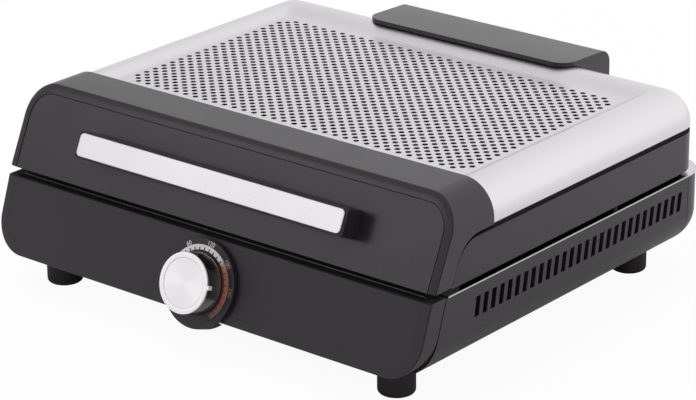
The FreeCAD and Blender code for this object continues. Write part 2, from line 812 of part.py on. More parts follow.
rounded_opening(
    fascia, "XZ", base_half + " - base_margin", "base_bottom + base_margin", "base_top - base_wall",
    "(base_corner - base_margin)",
    base_face("base_bottom") + " - overrun", "-base_front + fascia_depth + overrun",
    round_start=True, round_end=False)

control_plates = front_panel(
    "control_panel", base_face, base_slant,
    ("base_bottom + panel_edge", "base_top", base_half + " - panel_edge", "base_corner - panel_edge"),
    ("base_bottom + base_margin + seam", "base_top - base_wall - seam", base_half + " - base_margin - seam",
     "base_corner - base_margin - seam"),
    top_rounded=False)
dial_y = base_face("dial_z")
for body in control_plates:
    leaning_bore(body, "dial_x", dial_y, "dial_z", base_turn, "dial_hub + seam", "dial_depth + overrun")

# Housing of the base: sides and floor in one channel, with vent slots, and a separate cover round the rear.
housing = new_body("base_housing")
housing_front = "fascia_depth + seam"
slab(housing, "XZ", rectangle("-" + base_half, "housing_bottom", base_half, "housing_top"),
     base_face("housing_bottom"), "rear_seam")
round_edges(housing, lambda edge: runs(edge, "y") and edge.CenterOfMass.z < base_middle, "base_corner")
slab(housing, "YZ", [
    (base_face("housing_bottom - overrun") + " + " + housing_front, "housing_bottom - overrun"),
    (base_face("base_top + overrun") + " + " + housing_front, "base_top + overrun"),
    (base_face("housing_bottom - overrun") + " - overrun", "base_top + overrun"),
    (base_face("housing_bottom - overrun") + " - overrun", "housing_bottom - overrun"),
], "-%s - overrun" % base_half, base_half + " + overrun", cut=True)
open_ways = (Vector(0, 0, 1), Vector(0, 1, 0), Vector(0, -1, 0))
hollow(housing, lambda face: any(looks(face, way) for way in open_ways), "base_wall")
slot_shift = "vent_lean_share * vent_height / 2"
slot = slab(housing, "YZ", [
    ("-vent_front - vent_width / 2 - " + slot_shift, "vent_bottom"),
    ("-vent_front + vent_width / 2 - " + slot_shift, "vent_bottom"),
    ("-vent_front + vent_width / 2 + " + slot_shift, "vent_bottom + vent_height"),
    ("-vent_front - vent_width / 2 + " + slot_shift, "vent_bottom + vent_height"),
], "-%s - overrun" % base_half, base_half + " + overrun", cut=True)
vents = housing.newObject("PartDesign::LinearPattern", "vents")
vents.Originals = [slot]
vents.Direction = (origin_part(housing, "Y_Axis"), [""])
vents.setExpression("Length", bound("vent_pitch * (vent_count - 1)"))
vents.setExpression("Occurrences", bound("vent_count"))
housing.Tip = vents
doc.recompute()
slab(housing, "XY", rectangle(
    "-service_half_width", "-service_half_depth", "service_half_width", "service_half_depth",
), "housing_bottom - overrun", "housing_bottom + base_wall + overrun", cut=True)

foot_spots = [(sign + "foot_x", y) for sign in ("-", "") for y in ("-foot_front", "foot_rear")]
lap_x = "(service_half_width + service_lap / 2)"
lap_y = "(service_half_depth + service_lap / 2)"
service_spots = [(sign + lap_x, other + lap_y) for sign in ("-", "") for other in ("-", "")]
for spot in foot_spots + service_spots:
    disc(housing, "XY", spot, "screw_radius + screw_play",
         "housing_bottom - overrun", "housing_bottom + base_wall + overrun", cut=True)

service = new_body("service_plate")
outer_x = "service_half_width + service_lap"
outer_y = "service_half_depth + service_lap"
slab(service, "XY", rectangle("-(%s)" % outer_x, "-(%s)" % outer_y, outer_x, outer_y),
     "housing_bottom - service_wall", "housing_bottom")
for spot in service_spots:
    disc(service, "XY", spot, "screw_radius + screw_play",
         "housing_bottom - service_wall - overrun", "housing_bottom + overrun", cut=True)
group("service_screws", [
    screw(x, y, "housing_bottom - service_wall", up_turn, "service_wall + base_wall")
    for x, y in service_spots])

rear = new_body("rear_cover")
slab(rear, "XY", rectangle("-" + base_half, "rear_seam + seam", base_half, "base_rear"),
     "housing_bottom", "housing_top")
rear_middle = (size["rear_seam"] + size["base_rear"]) / 2
round_edges(rear, lambda edge: runs(edge, "z") and edge.CenterOfMass.y > rear_middle, "base_plan_corner")


def bottom_rim(edge):
    spot = edge.CenterOfMass
    return spot.z < size["housing_bottom"] + size["seam"] and spot.y > size["rear_seam"] + 2 * size["seam"]


round_edges(rear, bottom_rim, "base_corner")
hollow(rear, lambda face: looks(face, Vector(0, 0, 1)) or looks(face, Vector(0, -1, 0)), "base_wall")
wall_inside = "base_rear - base_wall - seam"
wall_outside = "base_rear + seam"
disc(rear, "XZ", ("-gland_x", "gland_z"), "gland_radius + screw_play", wall_inside, wall_outside, cut=True)
lug_x = "(lug_start + lug_width / 2)"
lug_screw_shares = (0.15, 0.45)
lug_levels = ["hinge_z - lug_drop + lug_drop * %s" % share for share in lug_screw_shares]
hinge_spots = [(sign + lug_x, level) for sign in ("-", "") for level in lug_levels]
for spot in hinge_spots:
    disc(rear, "XZ", spot, "screw_radius + screw_play", wall_inside, wall_outside, cut=True)
    lug = nodes["hinge_lug_left" if spot[0].startswith("-") else "hinge_lug_right"]
    disc(lug, "XZ", spot, "screw_radius + screw_play",
         "base_rear - base_wall - screw_grip", "base_rear", cut=True)
group("hinge_screws", [
    screw(x, "base_rear", z, to_front, "base_wall + screw_grip - seam") for x, z in hinge_spots])

# Gland of the mains lead: a ring on the rear wall with a barrel inside.
gland = new_body("cord_gland")
gland_inner = "(base_rear - gland_length)"
disc(gland, "XZ", ("-gland_x", "gland_z"), "gland_flange", "base_rear", "base_rear + gland_proud")
disc(gland, "XZ", ("-gland_x", "gland_z"), "gland_radius", gland_inner, "base_rear")
disc(gland, "XZ", ("-gland_x", "gland_z"), "gland_bore",
     gland_inner + " - overrun", "base_rear + gland_proud + overrun", cut=True)

# Pan: a pressed well with round corners, and a flange that lies on the base's rim.
pan = new_body("inner_pan")
slab(pan, "XY", rectangle("-well_half_width", "-well_front", "well_half_width", "well_rear"),
     "well_floor", "housing_top")
round_edges(pan, lambda edge: runs(edge, "z"), "well_corner")
round_edges(pan, lambda edge: edge.CenterOfMass.z < size["well_floor"] + size["seam"], "well_round")
hollow(pan, lambda face: looks(face, Vector(0, 0, 1)), "well_wall")
flange_half = "(%s + flange_proud)" % base_half
slab(pan, "XY", rectangle("-" + flange_half, "-flange_front", flange_half, "base_rear + flange_proud"),
     "housing_top", "housing_top + flange_wall")
flange_level = size["housing_top"] + size["flange_wall"] / 2


def flange_edge(edge):
    return runs(edge, "z") and abs(edge.CenterOfMass.z - flange_level) < size["seam"]


round_edges(pan, lambda edge: flange_edge(edge) and edge.CenterOfMass.y > size["rear_seam"], "flange_corner")
rounded_opening(
    pan, "XY", "well_half_width - well_wall", "-well_front + well_wall", "well_rear - well_wall",
    "(well_corner - well_wall)",
    "housing_top", "housing_top + flange_wall + overrun", round_start=True, round_end=True)
for sign in (-1, 1):
    low, high = ("lug_start - seam", "lug_start + lug_width + seam")
    if sign < 0:
        low, high = "-(%s)" % high, "-(%s)" % low
    slab(pan, "XY", rectangle(low, "base_rear - base_wall - lug_depth - seam", high, "base_rear + overrun"),
         "housing_top - seam", "housing_top + flange_wall + seam", cut=True)
for sign in ("-", ""):
    disc(pan, "XZ", (sign + "element_end_x", "element_level"), "bush_radius + element_play",
         "well_rear - well_wall - seam", "well_rear + seam", cut=True)

# Grill plate: a slab inside the well, a rim that rests on the flange, ribs from front to rear and drain slots.
grill = new_body("grill_plate")
rest_level = "(housing_top + flange_wall)"
inner_x = "(well_half_width - well_wall - plate_play)"
inner_front = "(-well_front + well_wall + plate_play)"
inner_rear = "(well_rear - well_wall - plate_play)"
slab(grill, "XY", rectangle("-" + inner_x, inner_front, inner_x, inner_rear),
     rest_level + " - plate_slab", rest_level)
round_edges(grill, lambda edge: runs(edge, "z"), "well_corner - well_wall - plate_play")
slab(grill, "XY", rectangle(
    "-well_half_width - plate_lap", "-well_front - plate_lap",
    "well_half_width + plate_lap", "well_rear + plate_lap",
), rest_level, rest_level + " + rim_height")
rim_level = size["housing_top"] + size["flange_wall"] + size["rim_height"] / 2


def rim_edge(edge):
    return runs(edge, "z") and abs(edge.CenterOfMass.z - rim_level) < size["seam"]


round_edges(grill, rim_edge, "well_corner + plate_lap")
ring_x = "(well_half_width + plate_lap - rim_width)"
ring_front = "(-well_front - plate_lap + rim_width)"
ring_rear = "(well_rear + plate_lap - rim_width)"
rounded_opening(
    grill, "XY", ring_x, ring_front, ring_rear, "(well_corner + plate_lap - rim_width)",
    rest_level, rest_level + " + rim_height + overrun", round_start=True, round_end=True)
first_rib = "-rib_pitch * (rib_count - 1) / 2"
rib = slab(grill, "XY", rectangle(
    first_rib + " - rib_width / 2", ring_front + " + rim_width",
    first_rib + " + rib_width / 2", ring_rear + " - rim_width",
), rest_level + " - seam", rest_level + " + rim_height")
ribs = grill.newObject("PartDesign::LinearPattern", "ribs")
ribs.Originals = [rib]
ribs.Direction = (origin_part(grill, "X_Axis"), [""])
ribs.setExpression("Length", bound("rib_pitch * (rib_count - 1)"))
ribs.setExpression("Occurrences", bound("rib_count"))
grill.Tip = ribs
doc.recompute()
first_drain = "-rib_pitch * (rib_count - 2) / 2"
plate_middle = "(well_rear - well_front) / 2"
drain = slab(grill, "XY", rectangle(
    first_drain + " - drain_width / 2", plate_middle + " - drain_length / 2",
    first_drain + " + drain_width / 2", plate_middle + " + drain_length / 2",
), rest_level + " - plate_slab - overrun", rest_level + " + overrun", cut=True)
drains = grill.newObject("PartDesign::LinearPattern", "drains")
drains.Originals = [drain]
drains.Direction = (origin_part(grill, "X_Axis"), [""])
drains.setExpression("Length", bound("rib_pitch * (rib_count - 2)"))
drains.setExpression("Occurrences", bound("rib_count - 1"))
grill.Tip = drains
doc.recompute()

# Heating element: one bar bent in the shape of an M, with both ends through the pan's rear wall.
tail_y = size["well_rear"] + size["element_tail"]
half_path = [
    (size["element_end_x"], tail_y), (size["element_end_x"], size["element_rear_y"]),
    (size["element_outer_x"], size["element_rear_y"]), (size["element_outer_x"], -size["element_front_y"]),
    (size["element_inner_x"], -size["element_front_y"]), (size["element_inner_x"], size["element_inner_y"]),
]
element_path = [Vector(-x, y, size["element_level"]) for x, y in half_path]
element_path += [Vector(x, y, size["element_level"]) for x, y in reversed(half_path)]
shaped("heating_element", tube(element_path, size["element_radius"], size["element_bend"]))

bushes = []
terminals = []
for sign in ("-", ""):
    end = (sign + "element_end_x", "well_rear", "element_level")
    nose = rod("bush_radius", "bush_nose + bush_thick", end[0], "well_rear - bush_nose", end[2], to_rear)
    collar = rod("bush_flange", "bush_thick", *end, to_rear)
    bore = rod("element_radius + element_play", "bush_nose + bush_thick + 2 * overrun",
               end[0], "well_rear - bush_nose - overrun", end[2], to_rear)
    bushes.append(combine("Part::Cut", combine("Part::Fuse", nose, collar), bore))
    terminals.append(
        rod("terminal_radius", "terminal_length", end[0], "well_rear + element_tail", end[2], to_rear))
group("element_bushes", bushes)
group("element_terminals", terminals)

clip_top = "element_level - element_radius - element_play"
clips = []
for sign in ("-", ""):
    for leg in ("element_outer_x", "element_inner_x"):
        middle = sign + leg
        clips.append(block(middle + " - clip_width / 2", "-clip_depth / 2", "well_floor + well_wall",
                           middle + " + clip_width / 2", "clip_depth / 2", clip_top))
group("element_clips", clips)

# Dial and knob: made square to the base's leaning front, with their own Z pointing out of it.
dial_place = ("dial_x", dial_y, "dial_z", base_turn)
dial = new_body("dial_housing")
disc(dial, "XY", ("0", "0"), "dial_radius", "-dial_skirt", "dial_proud")
under_base = "((base_bottom - seam - dial_z) * %s)" % base_slant
slab(dial, "XY", rectangle(
    "-dial_radius - overrun", under_base, "dial_radius + overrun", "dial_radius + overrun",
), "-dial_skirt - overrun", "0", cut=True)
disc(dial, "XY", ("0", "0"), "dial_hub", "-dial_depth", "0")
disc(dial, "XY", ("0", "0"), "shaft_radius + pin_play",
     "-dial_depth - overrun", "dial_proud + overrun", cut=True)
place(dial, *dial_place)

ring = new_body("dial_ring")
disc(ring, "XY", ("0", "0"), "ring_radius", "dial_proud", "dial_proud + ring_wall")
disc(ring, "XY", ("0", "0"), "ring_bore", "dial_proud - overrun", "dial_proud + ring_wall + overrun", cut=True)
place(ring, *dial_place)

knob = new_body("knob_body")
knob_back = "(dial_proud + ring_wall + knob_gap)"
knob_front = "(%s + knob_height)" % knob_back
disc(knob, "XY", ("0", "0"), "knob_radius", knob_back, knob_front)
slab(knob, "XY", rectangle("0", "-pointer_width / 2", "knob_radius + pointer_length", "pointer_width / 2"),
     knob_front + " - pointer_height", knob_front)
disc(knob, "XY", ("0", "0"), "shaft_radius + pin_play",
     knob_back + " - overrun", "shaft_length - dial_depth - shaft_sunk + screw_play", cut=True)
place(knob, *dial_place)

knob_cap = new_body("knob_cap")
disc(knob_cap, "XY", ("0", "0"), "cap_radius", knob_front, knob_front + " + cap_height")
place(knob_cap, *dial_place)

shaft = new_body("knob_shaft")
disc(shaft, "XY", ("0", "0"), "shaft_radius",
     "-dial_depth - shaft_sunk", "shaft_length - dial_depth - shaft_sunk")
place(shaft, *dial_place)

thermostat = new_body("thermostat")
slab(thermostat, "XY", rectangle(
    "-thermostat_width / 2", "-thermostat_height / 2", "thermostat_width / 2", "thermostat_height / 2",
), "-dial_depth - thermostat_depth", "-dial_depth")
disc(thermostat, "XY", ("0", "0"), "shaft_radius + pin_play",
     "-dial_depth - shaft_sunk - screw_play", "overrun", cut=True)
place(thermostat, *dial_place)

# Sensor and leads under the pan, along straight runs with small bends.
dial_face_y = -size["base_front"] - size["base_lean_share"] * (size["base_top"] - size["dial_z"])
back_of_thermostat = Placement(Vector(size["dial_x"], dial_face_y, size["dial_z"]), base_turn)
thermostat_end = -size["dial_depth"] - size["thermostat_depth"]


def behind_thermostat(across, reach):
    return back_of_thermostat.multVec(Vector(across, 0, thermostat_end - reach))


lead_bend = size["lead_bend"]
lead_level = size["lead_level"]
sensor_level = size["well_floor"] - size["sensor_radius"] - size["element_play"]
sensor_start = Vector(-size["sensor_x"], -size["sensor_front"], sensor_level)
quarter = size["thermostat_width"] / 4
capillary = tube([
    behind_thermostat(-quarter, 0), behind_thermostat(-quarter, size["lead_reach"]),
    Vector(-size["sensor_x"] / 2, -size["well_front"], sensor_level),
    sensor_start - Vector(0, size["sensor_length"] / 3, 0), sensor_start,
], size["capillary_radius"], lead_bend / 2)
bulb = Part.makeCylinder(size["sensor_radius"], size["sensor_length"], sensor_start, Vector(0, 1, 0))
shaped("capillary_sensor", capillary.fuse(bulb))

floor_top = "(housing_bottom + base_wall)"
keep("terminal_block", block(
    "-block_x - block_width / 2", "block_y - block_depth / 2", floor_top,
    "-block_x + block_width / 2", "block_y + block_depth / 2", floor_top + " + block_height"))

block_front = size["block_y"] - size["block_depth"] / 2
block_rear = size["block_y"] + size["block_depth"] / 2
block_left = -size["block_x"] - size["block_width"] / 2
gland_end = size["base_rear"] - size["gland_length"]
terminal_end = tail_y + size["terminal_length"]
behind_well = size["well_rear"] + size["element_tail"]
end_x = size["element_end_x"]
element_level = size["element_level"]
reach = size["lead_reach"]
gland_x = -size["gland_x"]
gland_z = size["gland_z"]
block_x = -size["block_x"]
block_y = size["block_y"]
front_y = -size["well_front"]
mains = [
    Vector(gland_x, gland_end - reach, gland_z), Vector(gland_x, gland_end - 2 * reach, gland_z),
    Vector(gland_x, behind_well - reach, lead_level), Vector(block_left - 2 * reach, block_y, lead_level),
    Vector(block_left, block_y, lead_level),
]
supply = [
    Vector(block_x, block_front, lead_level), Vector(block_x, block_y / 2, lead_level),
    Vector(0, front_y, lead_level), behind_thermostat(0, reach), behind_thermostat(0, 0),
]
neutral = [
    Vector(-end_x, terminal_end, element_level), Vector(-end_x, terminal_end + reach, element_level),
    Vector(block_x + reach, behind_well + reach, lead_level), Vector(block_x + reach, block_rear, lead_level),
]
switched = [
    Vector(end_x, terminal_end, element_level), Vector(end_x, terminal_end + reach, element_level),
    Vector(end_x + 2 * reach, behind_well + reach, lead_level), Vector(end_x + 2 * reach, front_y, lead_level),
    behind_thermostat(quarter, reach), behind_thermostat(quarter, 0),
]
leads = [mains, supply, neutral, switched]
shaped("lead_wires", Part.makeCompound([tube(points, size["lead_radius"], lead_bend) for points in leads]))

# Feet, each held by a screw from below, and soft rests on the flange under the sides of the lid.
for (x, y), label in zip(foot_spots, ("front_left", "rear_left", "front_right", "rear_right")):
    foot = new_body("foot_" + label)
    disc(foot, "XY", (x, y), "foot_radius", "0", "housing_bottom")
    round_edges(foot, lambda edge: edge.CenterOfMass.z < size["seam"], "foot_round")
    disc(foot, "XY", (x, y), "screw_head + screw_play", "-overrun", "foot_recess", cut=True)
    disc(foot, "XY", (x, y), "screw_radius + screw_play", "-overrun", "housing_bottom + overrun", cut=True)
group("foot_screws", [
    screw(x, y, "foot_recess", up_turn, "housing_bottom - foot_recess + base_wall") for x, y in foot_spots])
rest_x = "(lid_width / 2 - frame_inset - frame_wall / 2)"
group("lid_rests", [
    rod("rest_radius", "frame_bottom - housing_top - flange_wall",
        sign + rest_x, "rest_y", "housing_top + flange_wall")
    for sign in ("-", "")])

doc.recompute()
for piece in doc.Objects:
    if "Invalid" in piece.State or "Error" in piece.State:
        raise ValueError("%s in %s failed" % (piece.Name, piece.Label))
for label, piece in nodes.items():
    if piece.Shape.isNull() or not piece.Shape.isValid():
        raise ValueError("%s has no valid shape" % label)
os.makedirs("parts", exist_ok=True)
for label, piece in nodes.items():
    piece.Shape.exportStep("parts/%s.step" % label)
print(len(nodes), "nodes written")
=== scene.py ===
import bmesh
import bpy
import json
import math
from mathutils import Matrix, Vector


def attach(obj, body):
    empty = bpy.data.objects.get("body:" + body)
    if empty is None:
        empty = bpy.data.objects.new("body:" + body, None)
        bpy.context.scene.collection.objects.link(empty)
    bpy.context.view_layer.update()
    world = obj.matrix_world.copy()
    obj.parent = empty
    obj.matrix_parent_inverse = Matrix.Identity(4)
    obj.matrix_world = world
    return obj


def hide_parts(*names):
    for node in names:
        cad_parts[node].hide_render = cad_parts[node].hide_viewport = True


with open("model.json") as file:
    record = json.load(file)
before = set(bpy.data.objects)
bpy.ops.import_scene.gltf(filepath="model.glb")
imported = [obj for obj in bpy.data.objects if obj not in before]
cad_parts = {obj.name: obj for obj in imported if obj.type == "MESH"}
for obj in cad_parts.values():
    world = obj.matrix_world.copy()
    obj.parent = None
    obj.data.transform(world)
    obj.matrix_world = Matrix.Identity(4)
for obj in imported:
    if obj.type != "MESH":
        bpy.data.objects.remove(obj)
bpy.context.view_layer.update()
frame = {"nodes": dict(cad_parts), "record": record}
mm = 0.001
bodyOf = {node: body for body, nodes in frame["record"]["behaviour"]["bodies"].items() for node in nodes}
print("frame loaded,", len(frame["nodes"]), "nodes")

# Leaning fronts of lid and base: the edge at the gap in mm, and how far the face goes back per mm of height
lidFace = {"y": -153.95, "z": 85.5, "leanShare": 0.466}
baseFace = {"y": -157.05, "z": 79.8, "leanShare": 0.354}


def faceAt(face, z):
    return face["y"] + face["leanShare"] * (z - face["z"])


# The dial stands square on the base's leaning front
dial = {"x": 4.0, "z": 48.0}
dialCentre = Vector((dial["x"], faceAt(baseFace, dial["z"]), dial["z"])) * mm
leanRun = math.hypot(1, baseFace["leanShare"])
dialOut = Vector((0, -1 / leanRun, baseFace["leanShare"] / leanRun))
dialUp = Vector((0, baseFace["leanShare"] / leanRun, 1 / leanRun))
dialMatrix = Matrix.Translation(dialCentre) @ Matrix((
    (1, 0, 0), (0, dialUp.y, dialOut.y), (0, dialUp.z, dialOut.z))).to_4x4()


def linear(hexColour):
    channels = [int(hexColour[place:place + 2], 16) / 255 for place in (1, 3, 5)]
    return tuple(c / 12.92 if c <= 0.04045 else ((c + 0.055) / 1.055) ** 2.4 for c in channels) + (1.0,)


def addNode(tree, kind, links=None, **settings):
    node = tree.nodes.new(kind)
    for name, value in settings.items():
        setattr(node, name, value)
    for socket, value in (links or {}).items():
        if isinstance(value, bpy.types.NodeSocket):
            tree.links.new(value, node.inputs[socket])
        else:
            node.inputs[socket].default_value = value
    return node


def newFinish(name, **sockets):
    finish = bpy.data.materials.new(name)
    finish.use_nodes = True
    tree = finish.node_tree
    for socket, value in sockets.items():
        tree.nodes["Principled BSDF"].inputs[socket.replace("_", " ")].default_value = value
    place = addNode(tree, "ShaderNodeTexCoord").outputs["Object"]
    return finish, tree, place


def feed(finish, **sources):
    # what varies over the surface is linked to the shader's sockets
    tree = finish.node_tree
    for socket, source in sources.items():
        tree.links.new(source, tree.nodes["Principled BSDF"].inputs[socket.replace("_", " ")])
    return finish


# Injection-moulded black plastic with a spark-eroded skin: a soft sheen, broken by a fine even grain;
# above the given height the surface is painted near black and dull, as painted shade for a face that lies in
# shadow in a gap
mouldedSkin = {"flowMark": 38, "sheenSpread": 0.05, "grainShow": 0.12, "grainDepth": 0.05,
               "specularTint": "#fff5ff", "paintedShadeColour": "#040404", "paintedShadeRoughness": 0.95, "paintedShadeFade": 0.15}


def mouldedBlack(name, dark, pale, roughness, grit, paintedShadeAbove=None):
    s = mouldedSkin
    finish, tree, place = newFinish(name, IOR=1.5, Specular_Tint=linear(s["specularTint"]))
    flow = addNode(tree, "ShaderNodeTexNoise", {
        "Vector": place, "Scale": 1 / (s["flowMark"] * mm), "Detail": 3.0}).outputs["Fac"]
    grain = addNode(tree, "ShaderNodeTexNoise", {
        "Vector": place, "Scale": 1 / (grit * mm), "Detail": 2.0}).outputs["Fac"]
    tone = addNode(tree, "ShaderNodeMix", {
        "Factor": flow, "A": linear(dark), "B": linear(pale)}, data_type="RGBA").outputs["Result"]
    rough = addNode(tree, "ShaderNodeMapRange", {
        "Value": flow, "To Min": roughness - s["sheenSpread"],
        "To Max": roughness + s["sheenSpread"]}).outputs["Result"]
    # painted shade: above the height the tone fades to near black and the surface to dull
    if paintedShadeAbove:
        height = addNode(tree, "ShaderNodeSeparateXYZ", {0: place}).outputs["Z"]
        paintedShadeMask = addNode(tree, "ShaderNodeMapRange", {
            "Value": height, "From Min": (paintedShadeAbove - s["paintedShadeFade"]) * mm,
            "From Max": (paintedShadeAbove + s["paintedShadeFade"]) * mm}).outputs["Result"]
        tone = addNode(tree, "ShaderNodeMix", {
            "Factor": paintedShadeMask, "A": tone, "B": linear(s["paintedShadeColour"])}, data_type="RGBA").outputs["Result"]
        rough = addNode(tree, "ShaderNodeMapRange", {
            "Value": paintedShadeMask, "To Min": rough, "To Max": s["paintedShadeRoughness"]}).outputs["Result"]
    bump = addNode(tree, "ShaderNodeBump", {
        "Height": grain, "Strength": s["grainShow"], "Distance": s["grainDepth"] * mm}).outputs["Normal"]
    return feed(finish, Base_Color=tone, Roughness=rough, Normal=bump)


# Stainless or aluminium sheet, belt brushed from side to side: long fine scratches spread the reflections
brushing = {"haze": 60, "sheenSpread": 0.08, "scratchShow": 0.06, "scratchDepth": 0.04}


def brushedMetal(name, dark, pale, roughness, run, stroke):
    s = brushing
    finish, tree, place = newFinish(name, Metallic=1.0)
    stretched = addNode(tree, "ShaderNodeMapping", {
        "Vector": place, "Scale": (1 / (run * mm), 1 / (stroke * mm), 1 / (stroke * mm))}).outputs["Vector"]
    lines = addNode(tree, "ShaderNodeTexNoise", {
        "Vector": stretched, "Scale": 1.0, "Detail": 3.0}).outputs["Fac"]
    haze = addNode(tree, "ShaderNodeTexNoise", {
        "Vector": place, "Scale": 1 / (s["haze"] * mm), "Detail": 2.0}).outputs["Fac"]
    tone = addNode(tree, "ShaderNodeMix", {
        "Factor": lines, "A": linear(dark), "B": linear(pale)}, data_type="RGBA").outputs["Result"]
    both = addNode(tree, "ShaderNodeMath", {0: lines, 1: haze}, operation="ADD").outputs["Value"]  # up to 2
    rough = addNode(tree, "ShaderNodeMapRange", {
        "Value": both, "From Max": 2.0, "To Min": roughness - s["sheenSpread"],
        "To Max": roughness + s["sheenSpread"]}).outputs["Result"]
    bump = addNode(tree, "ShaderNodeBump", {
        "Height": lines, "Strength": s["scratchShow"], "Distance": s["scratchDepth"] * mm}).outputs["Normal"]
    return feed(finish, Base_Color=tone, Roughness=rough, Normal=bump)


# Pressed stainless pan: bright drawn steel; the flange under the lid is painted near black as painted shade,
# for the lid's shade and its dark reflection, with bare steel along the flange's edge; each limit of the
# painted shade runs from bare to shaded
drawnPan = {"lineRun": 40, "lineWidth": 1.2, "dark": "#c4c1c4", "pale": "#d6d3d6", "paintedFlangeShade": "#0b0a0b",
            "smooth": 0.2, "dull": 0.34, "sides": (199.0, 198.7), "rear": (150, 146), "top": (78.4, 78.7)}


def pressedPan():
    s = drawnPan
    finish, tree, place = newFinish("pressedStainlessPan", Metallic=1.0)
    lineScale = 1 / (s["lineWidth"] * mm)
    drawn = addNode(tree, "ShaderNodeMapping", {
        "Vector": place, "Scale": (1 / (s["lineRun"] * mm), lineScale, lineScale)}).outputs["Vector"]
    lines = addNode(tree, "ShaderNodeTexNoise", {"Vector": drawn, "Scale": 1.0, "Detail": 3.0}).outputs["Fac"]
    steel = addNode(tree, "ShaderNodeMix", {
        "Factor": lines, "A": linear(s["dark"]), "B": linear(s["pale"])}, data_type="RGBA").outputs["Result"]
    spot = addNode(tree, "ShaderNodeSeparateXYZ", {0: place}).outputs
    reach = addNode(tree, "ShaderNodeMath", {0: spot["X"]}, operation="ABSOLUTE").outputs[0]
    # painted shade: inside the three limits, the flange under the lid is painted near black
    paintedFlangeShade, ahead, above = (addNode(tree, "ShaderNodeMapRange", {
        "Value": value, "From Min": unshadedAt * mm, "From Max": shadedAt * mm}).outputs["Result"]
        for value, (unshadedAt, shadedAt) in ((reach, s["sides"]), (spot["Y"], s["rear"]), (spot["Z"], s["top"])))
    for share in (ahead, above):
        paintedFlangeShade = addNode(tree, "ShaderNodeMath", {0: paintedFlangeShade, 1: share}, operation="MULTIPLY").outputs[0]
    tone = addNode(tree, "ShaderNodeMix", {
        "Factor": paintedFlangeShade, "A": steel, "B": linear(s["paintedFlangeShade"])}, data_type="RGBA").outputs["Result"]
    rough = addNode(tree, "ShaderNodeMapRange", {
        "Value": lines, "To Min": s["smooth"], "To Max": s["dull"]}).outputs["Result"]
    return feed(finish, Base_Color=tone, Roughness=rough)


# Satin silver disc, spun on a lathe and lacquered: rings too fine to see singly, drawn 0.7 mm apart to show
spinning = {"ring": 0.7, "ringShow": 0.03, "ringDepth": 0.05, "dark": "#f5f3f5", "pale": "#fbf9fb",
            "smooth": 0.3, "dull": 0.42}


def spunAluminium():
    s = spinning
    finish, tree, place = newFinish("spunAluminium", Metallic=0.32, Anisotropic=0.7)
    offset = addNode(tree, "ShaderNodeVectorMath", {
        0: place, 1: tuple(dialCentre)}, operation="SUBTRACT").outputs["Vector"]
    reach = addNode(tree, "ShaderNodeVectorMath", {0: offset}, operation="LENGTH").outputs["Value"]
    rings = addNode(tree, "ShaderNodeTexNoise", {
        "W": reach, "Scale": 1 / (s["ring"] * mm), "Detail": 2.0}, noise_dimensions="1D").outputs["Fac"]
    tone = addNode(tree, "ShaderNodeMix", {
        "Factor": rings, "A": linear(s["dark"]), "B": linear(s["pale"])}, data_type="RGBA").outputs["Result"]
    rough = addNode(tree, "ShaderNodeMapRange", {
        "Value": rings, "To Min": s["smooth"], "To Max": s["dull"]}).outputs["Result"]
    bump = addNode(tree, "ShaderNodeBump", {
        "Height": rings, "Strength": s["ringShow"], "Distance": s["ringDepth"] * mm}).outputs["Normal"]
    # the lathe's rings draw the light out into two fans
    around = addNode(tree, "ShaderNodeTangent", direction_type="RADIAL", axis="Y").outputs["Tangent"]
    return feed(finish, Base_Color=tone, Roughness=rough, Normal=bump, Tangent=around)


# Smoked chrome over polished ABS: a dark clear mirror that shows the dial round it, with faint smears
chroming = {"smear": 9, "dark": "#7c787a", "pale": "#918d8f", "smooth": 0.1, "dull": 0.2}


def smokedChrome():
    s = chroming
    finish, tree, place = newFinish("smokedChrome", Metallic=1.0)
    smear = addNode(tree, "ShaderNodeTexNoise", {
        "Vector": place, "Scale": 1 / (s["smear"] * mm), "Detail": 4.0}).outputs["Fac"]
    tone = addNode(tree, "ShaderNodeMix", {
        "Factor": smear, "A": linear(s["dark"]), "B": linear(s["pale"])}, data_type="RGBA").outputs["Result"]
    rough = addNode(tree, "ShaderNodeMapRange", {
        "Value": smear, "To Min": s["smooth"], "To Max": s["dull"]}).outputs["Result"]
    return feed(finish, Base_Color=tone, Roughness=rough)


# Screen-printed ink on the dial, and painted shade beside it: an even film with soft pinholes, whose colour
# follows the heat
inkFilm = {"pinhole": 0.6, "leastCover": 0.86, "under": "#1c1a1b"}


def scaleInk(name, stops, roughness):
    s = inkFilm
    finish, tree, place = newFinish(name, Roughness=roughness)
    warmth = addNode(tree, "ShaderNodeAttribute", attribute_name="warmth").outputs["Fac"]
    ramp = addNode(tree, "ShaderNodeValToRGB", {"Fac": warmth})
    for spot, colour in stops[1:-1]:
        ramp.color_ramp.elements.new(spot).color = linear(colour)
    ramp.color_ramp.elements[0].color = linear(stops[0][1])
    ramp.color_ramp.elements[-1].color = linear(stops[-1][1])
    grain = addNode(tree, "ShaderNodeTexNoise", {
        "Vector": place, "Scale": 1 / (s["pinhole"] * mm), "Detail": 2.0}).outputs["Fac"]
    cover = addNode(tree, "ShaderNodeMapRange", {
        "Value": grain, "To Min": s["leastCover"], "To Max": 1.0}).outputs["Result"]
    tone = addNode(tree, "ShaderNodeMix", {
        "Factor": cover, "A": linear(s["under"]), "B": ramp.outputs["Color"]}, data_type="RGBA")
    return feed(finish, Base_Color=tone.outputs["Result"])


# Sprayed non-stick coating on cast aluminium: dark, a little pebbled, with pale flecks
sprayedCoat = {"fleck": 2.2, "fleckEdge": (0.14, 0.08), "dark": "#161516", "pale": "#2c2b2c",
               "pebble": 0.8, "pebbleShow": 0.25, "pebbleDepth": 0.08, "smooth": 0.5, "dull": 0.66}


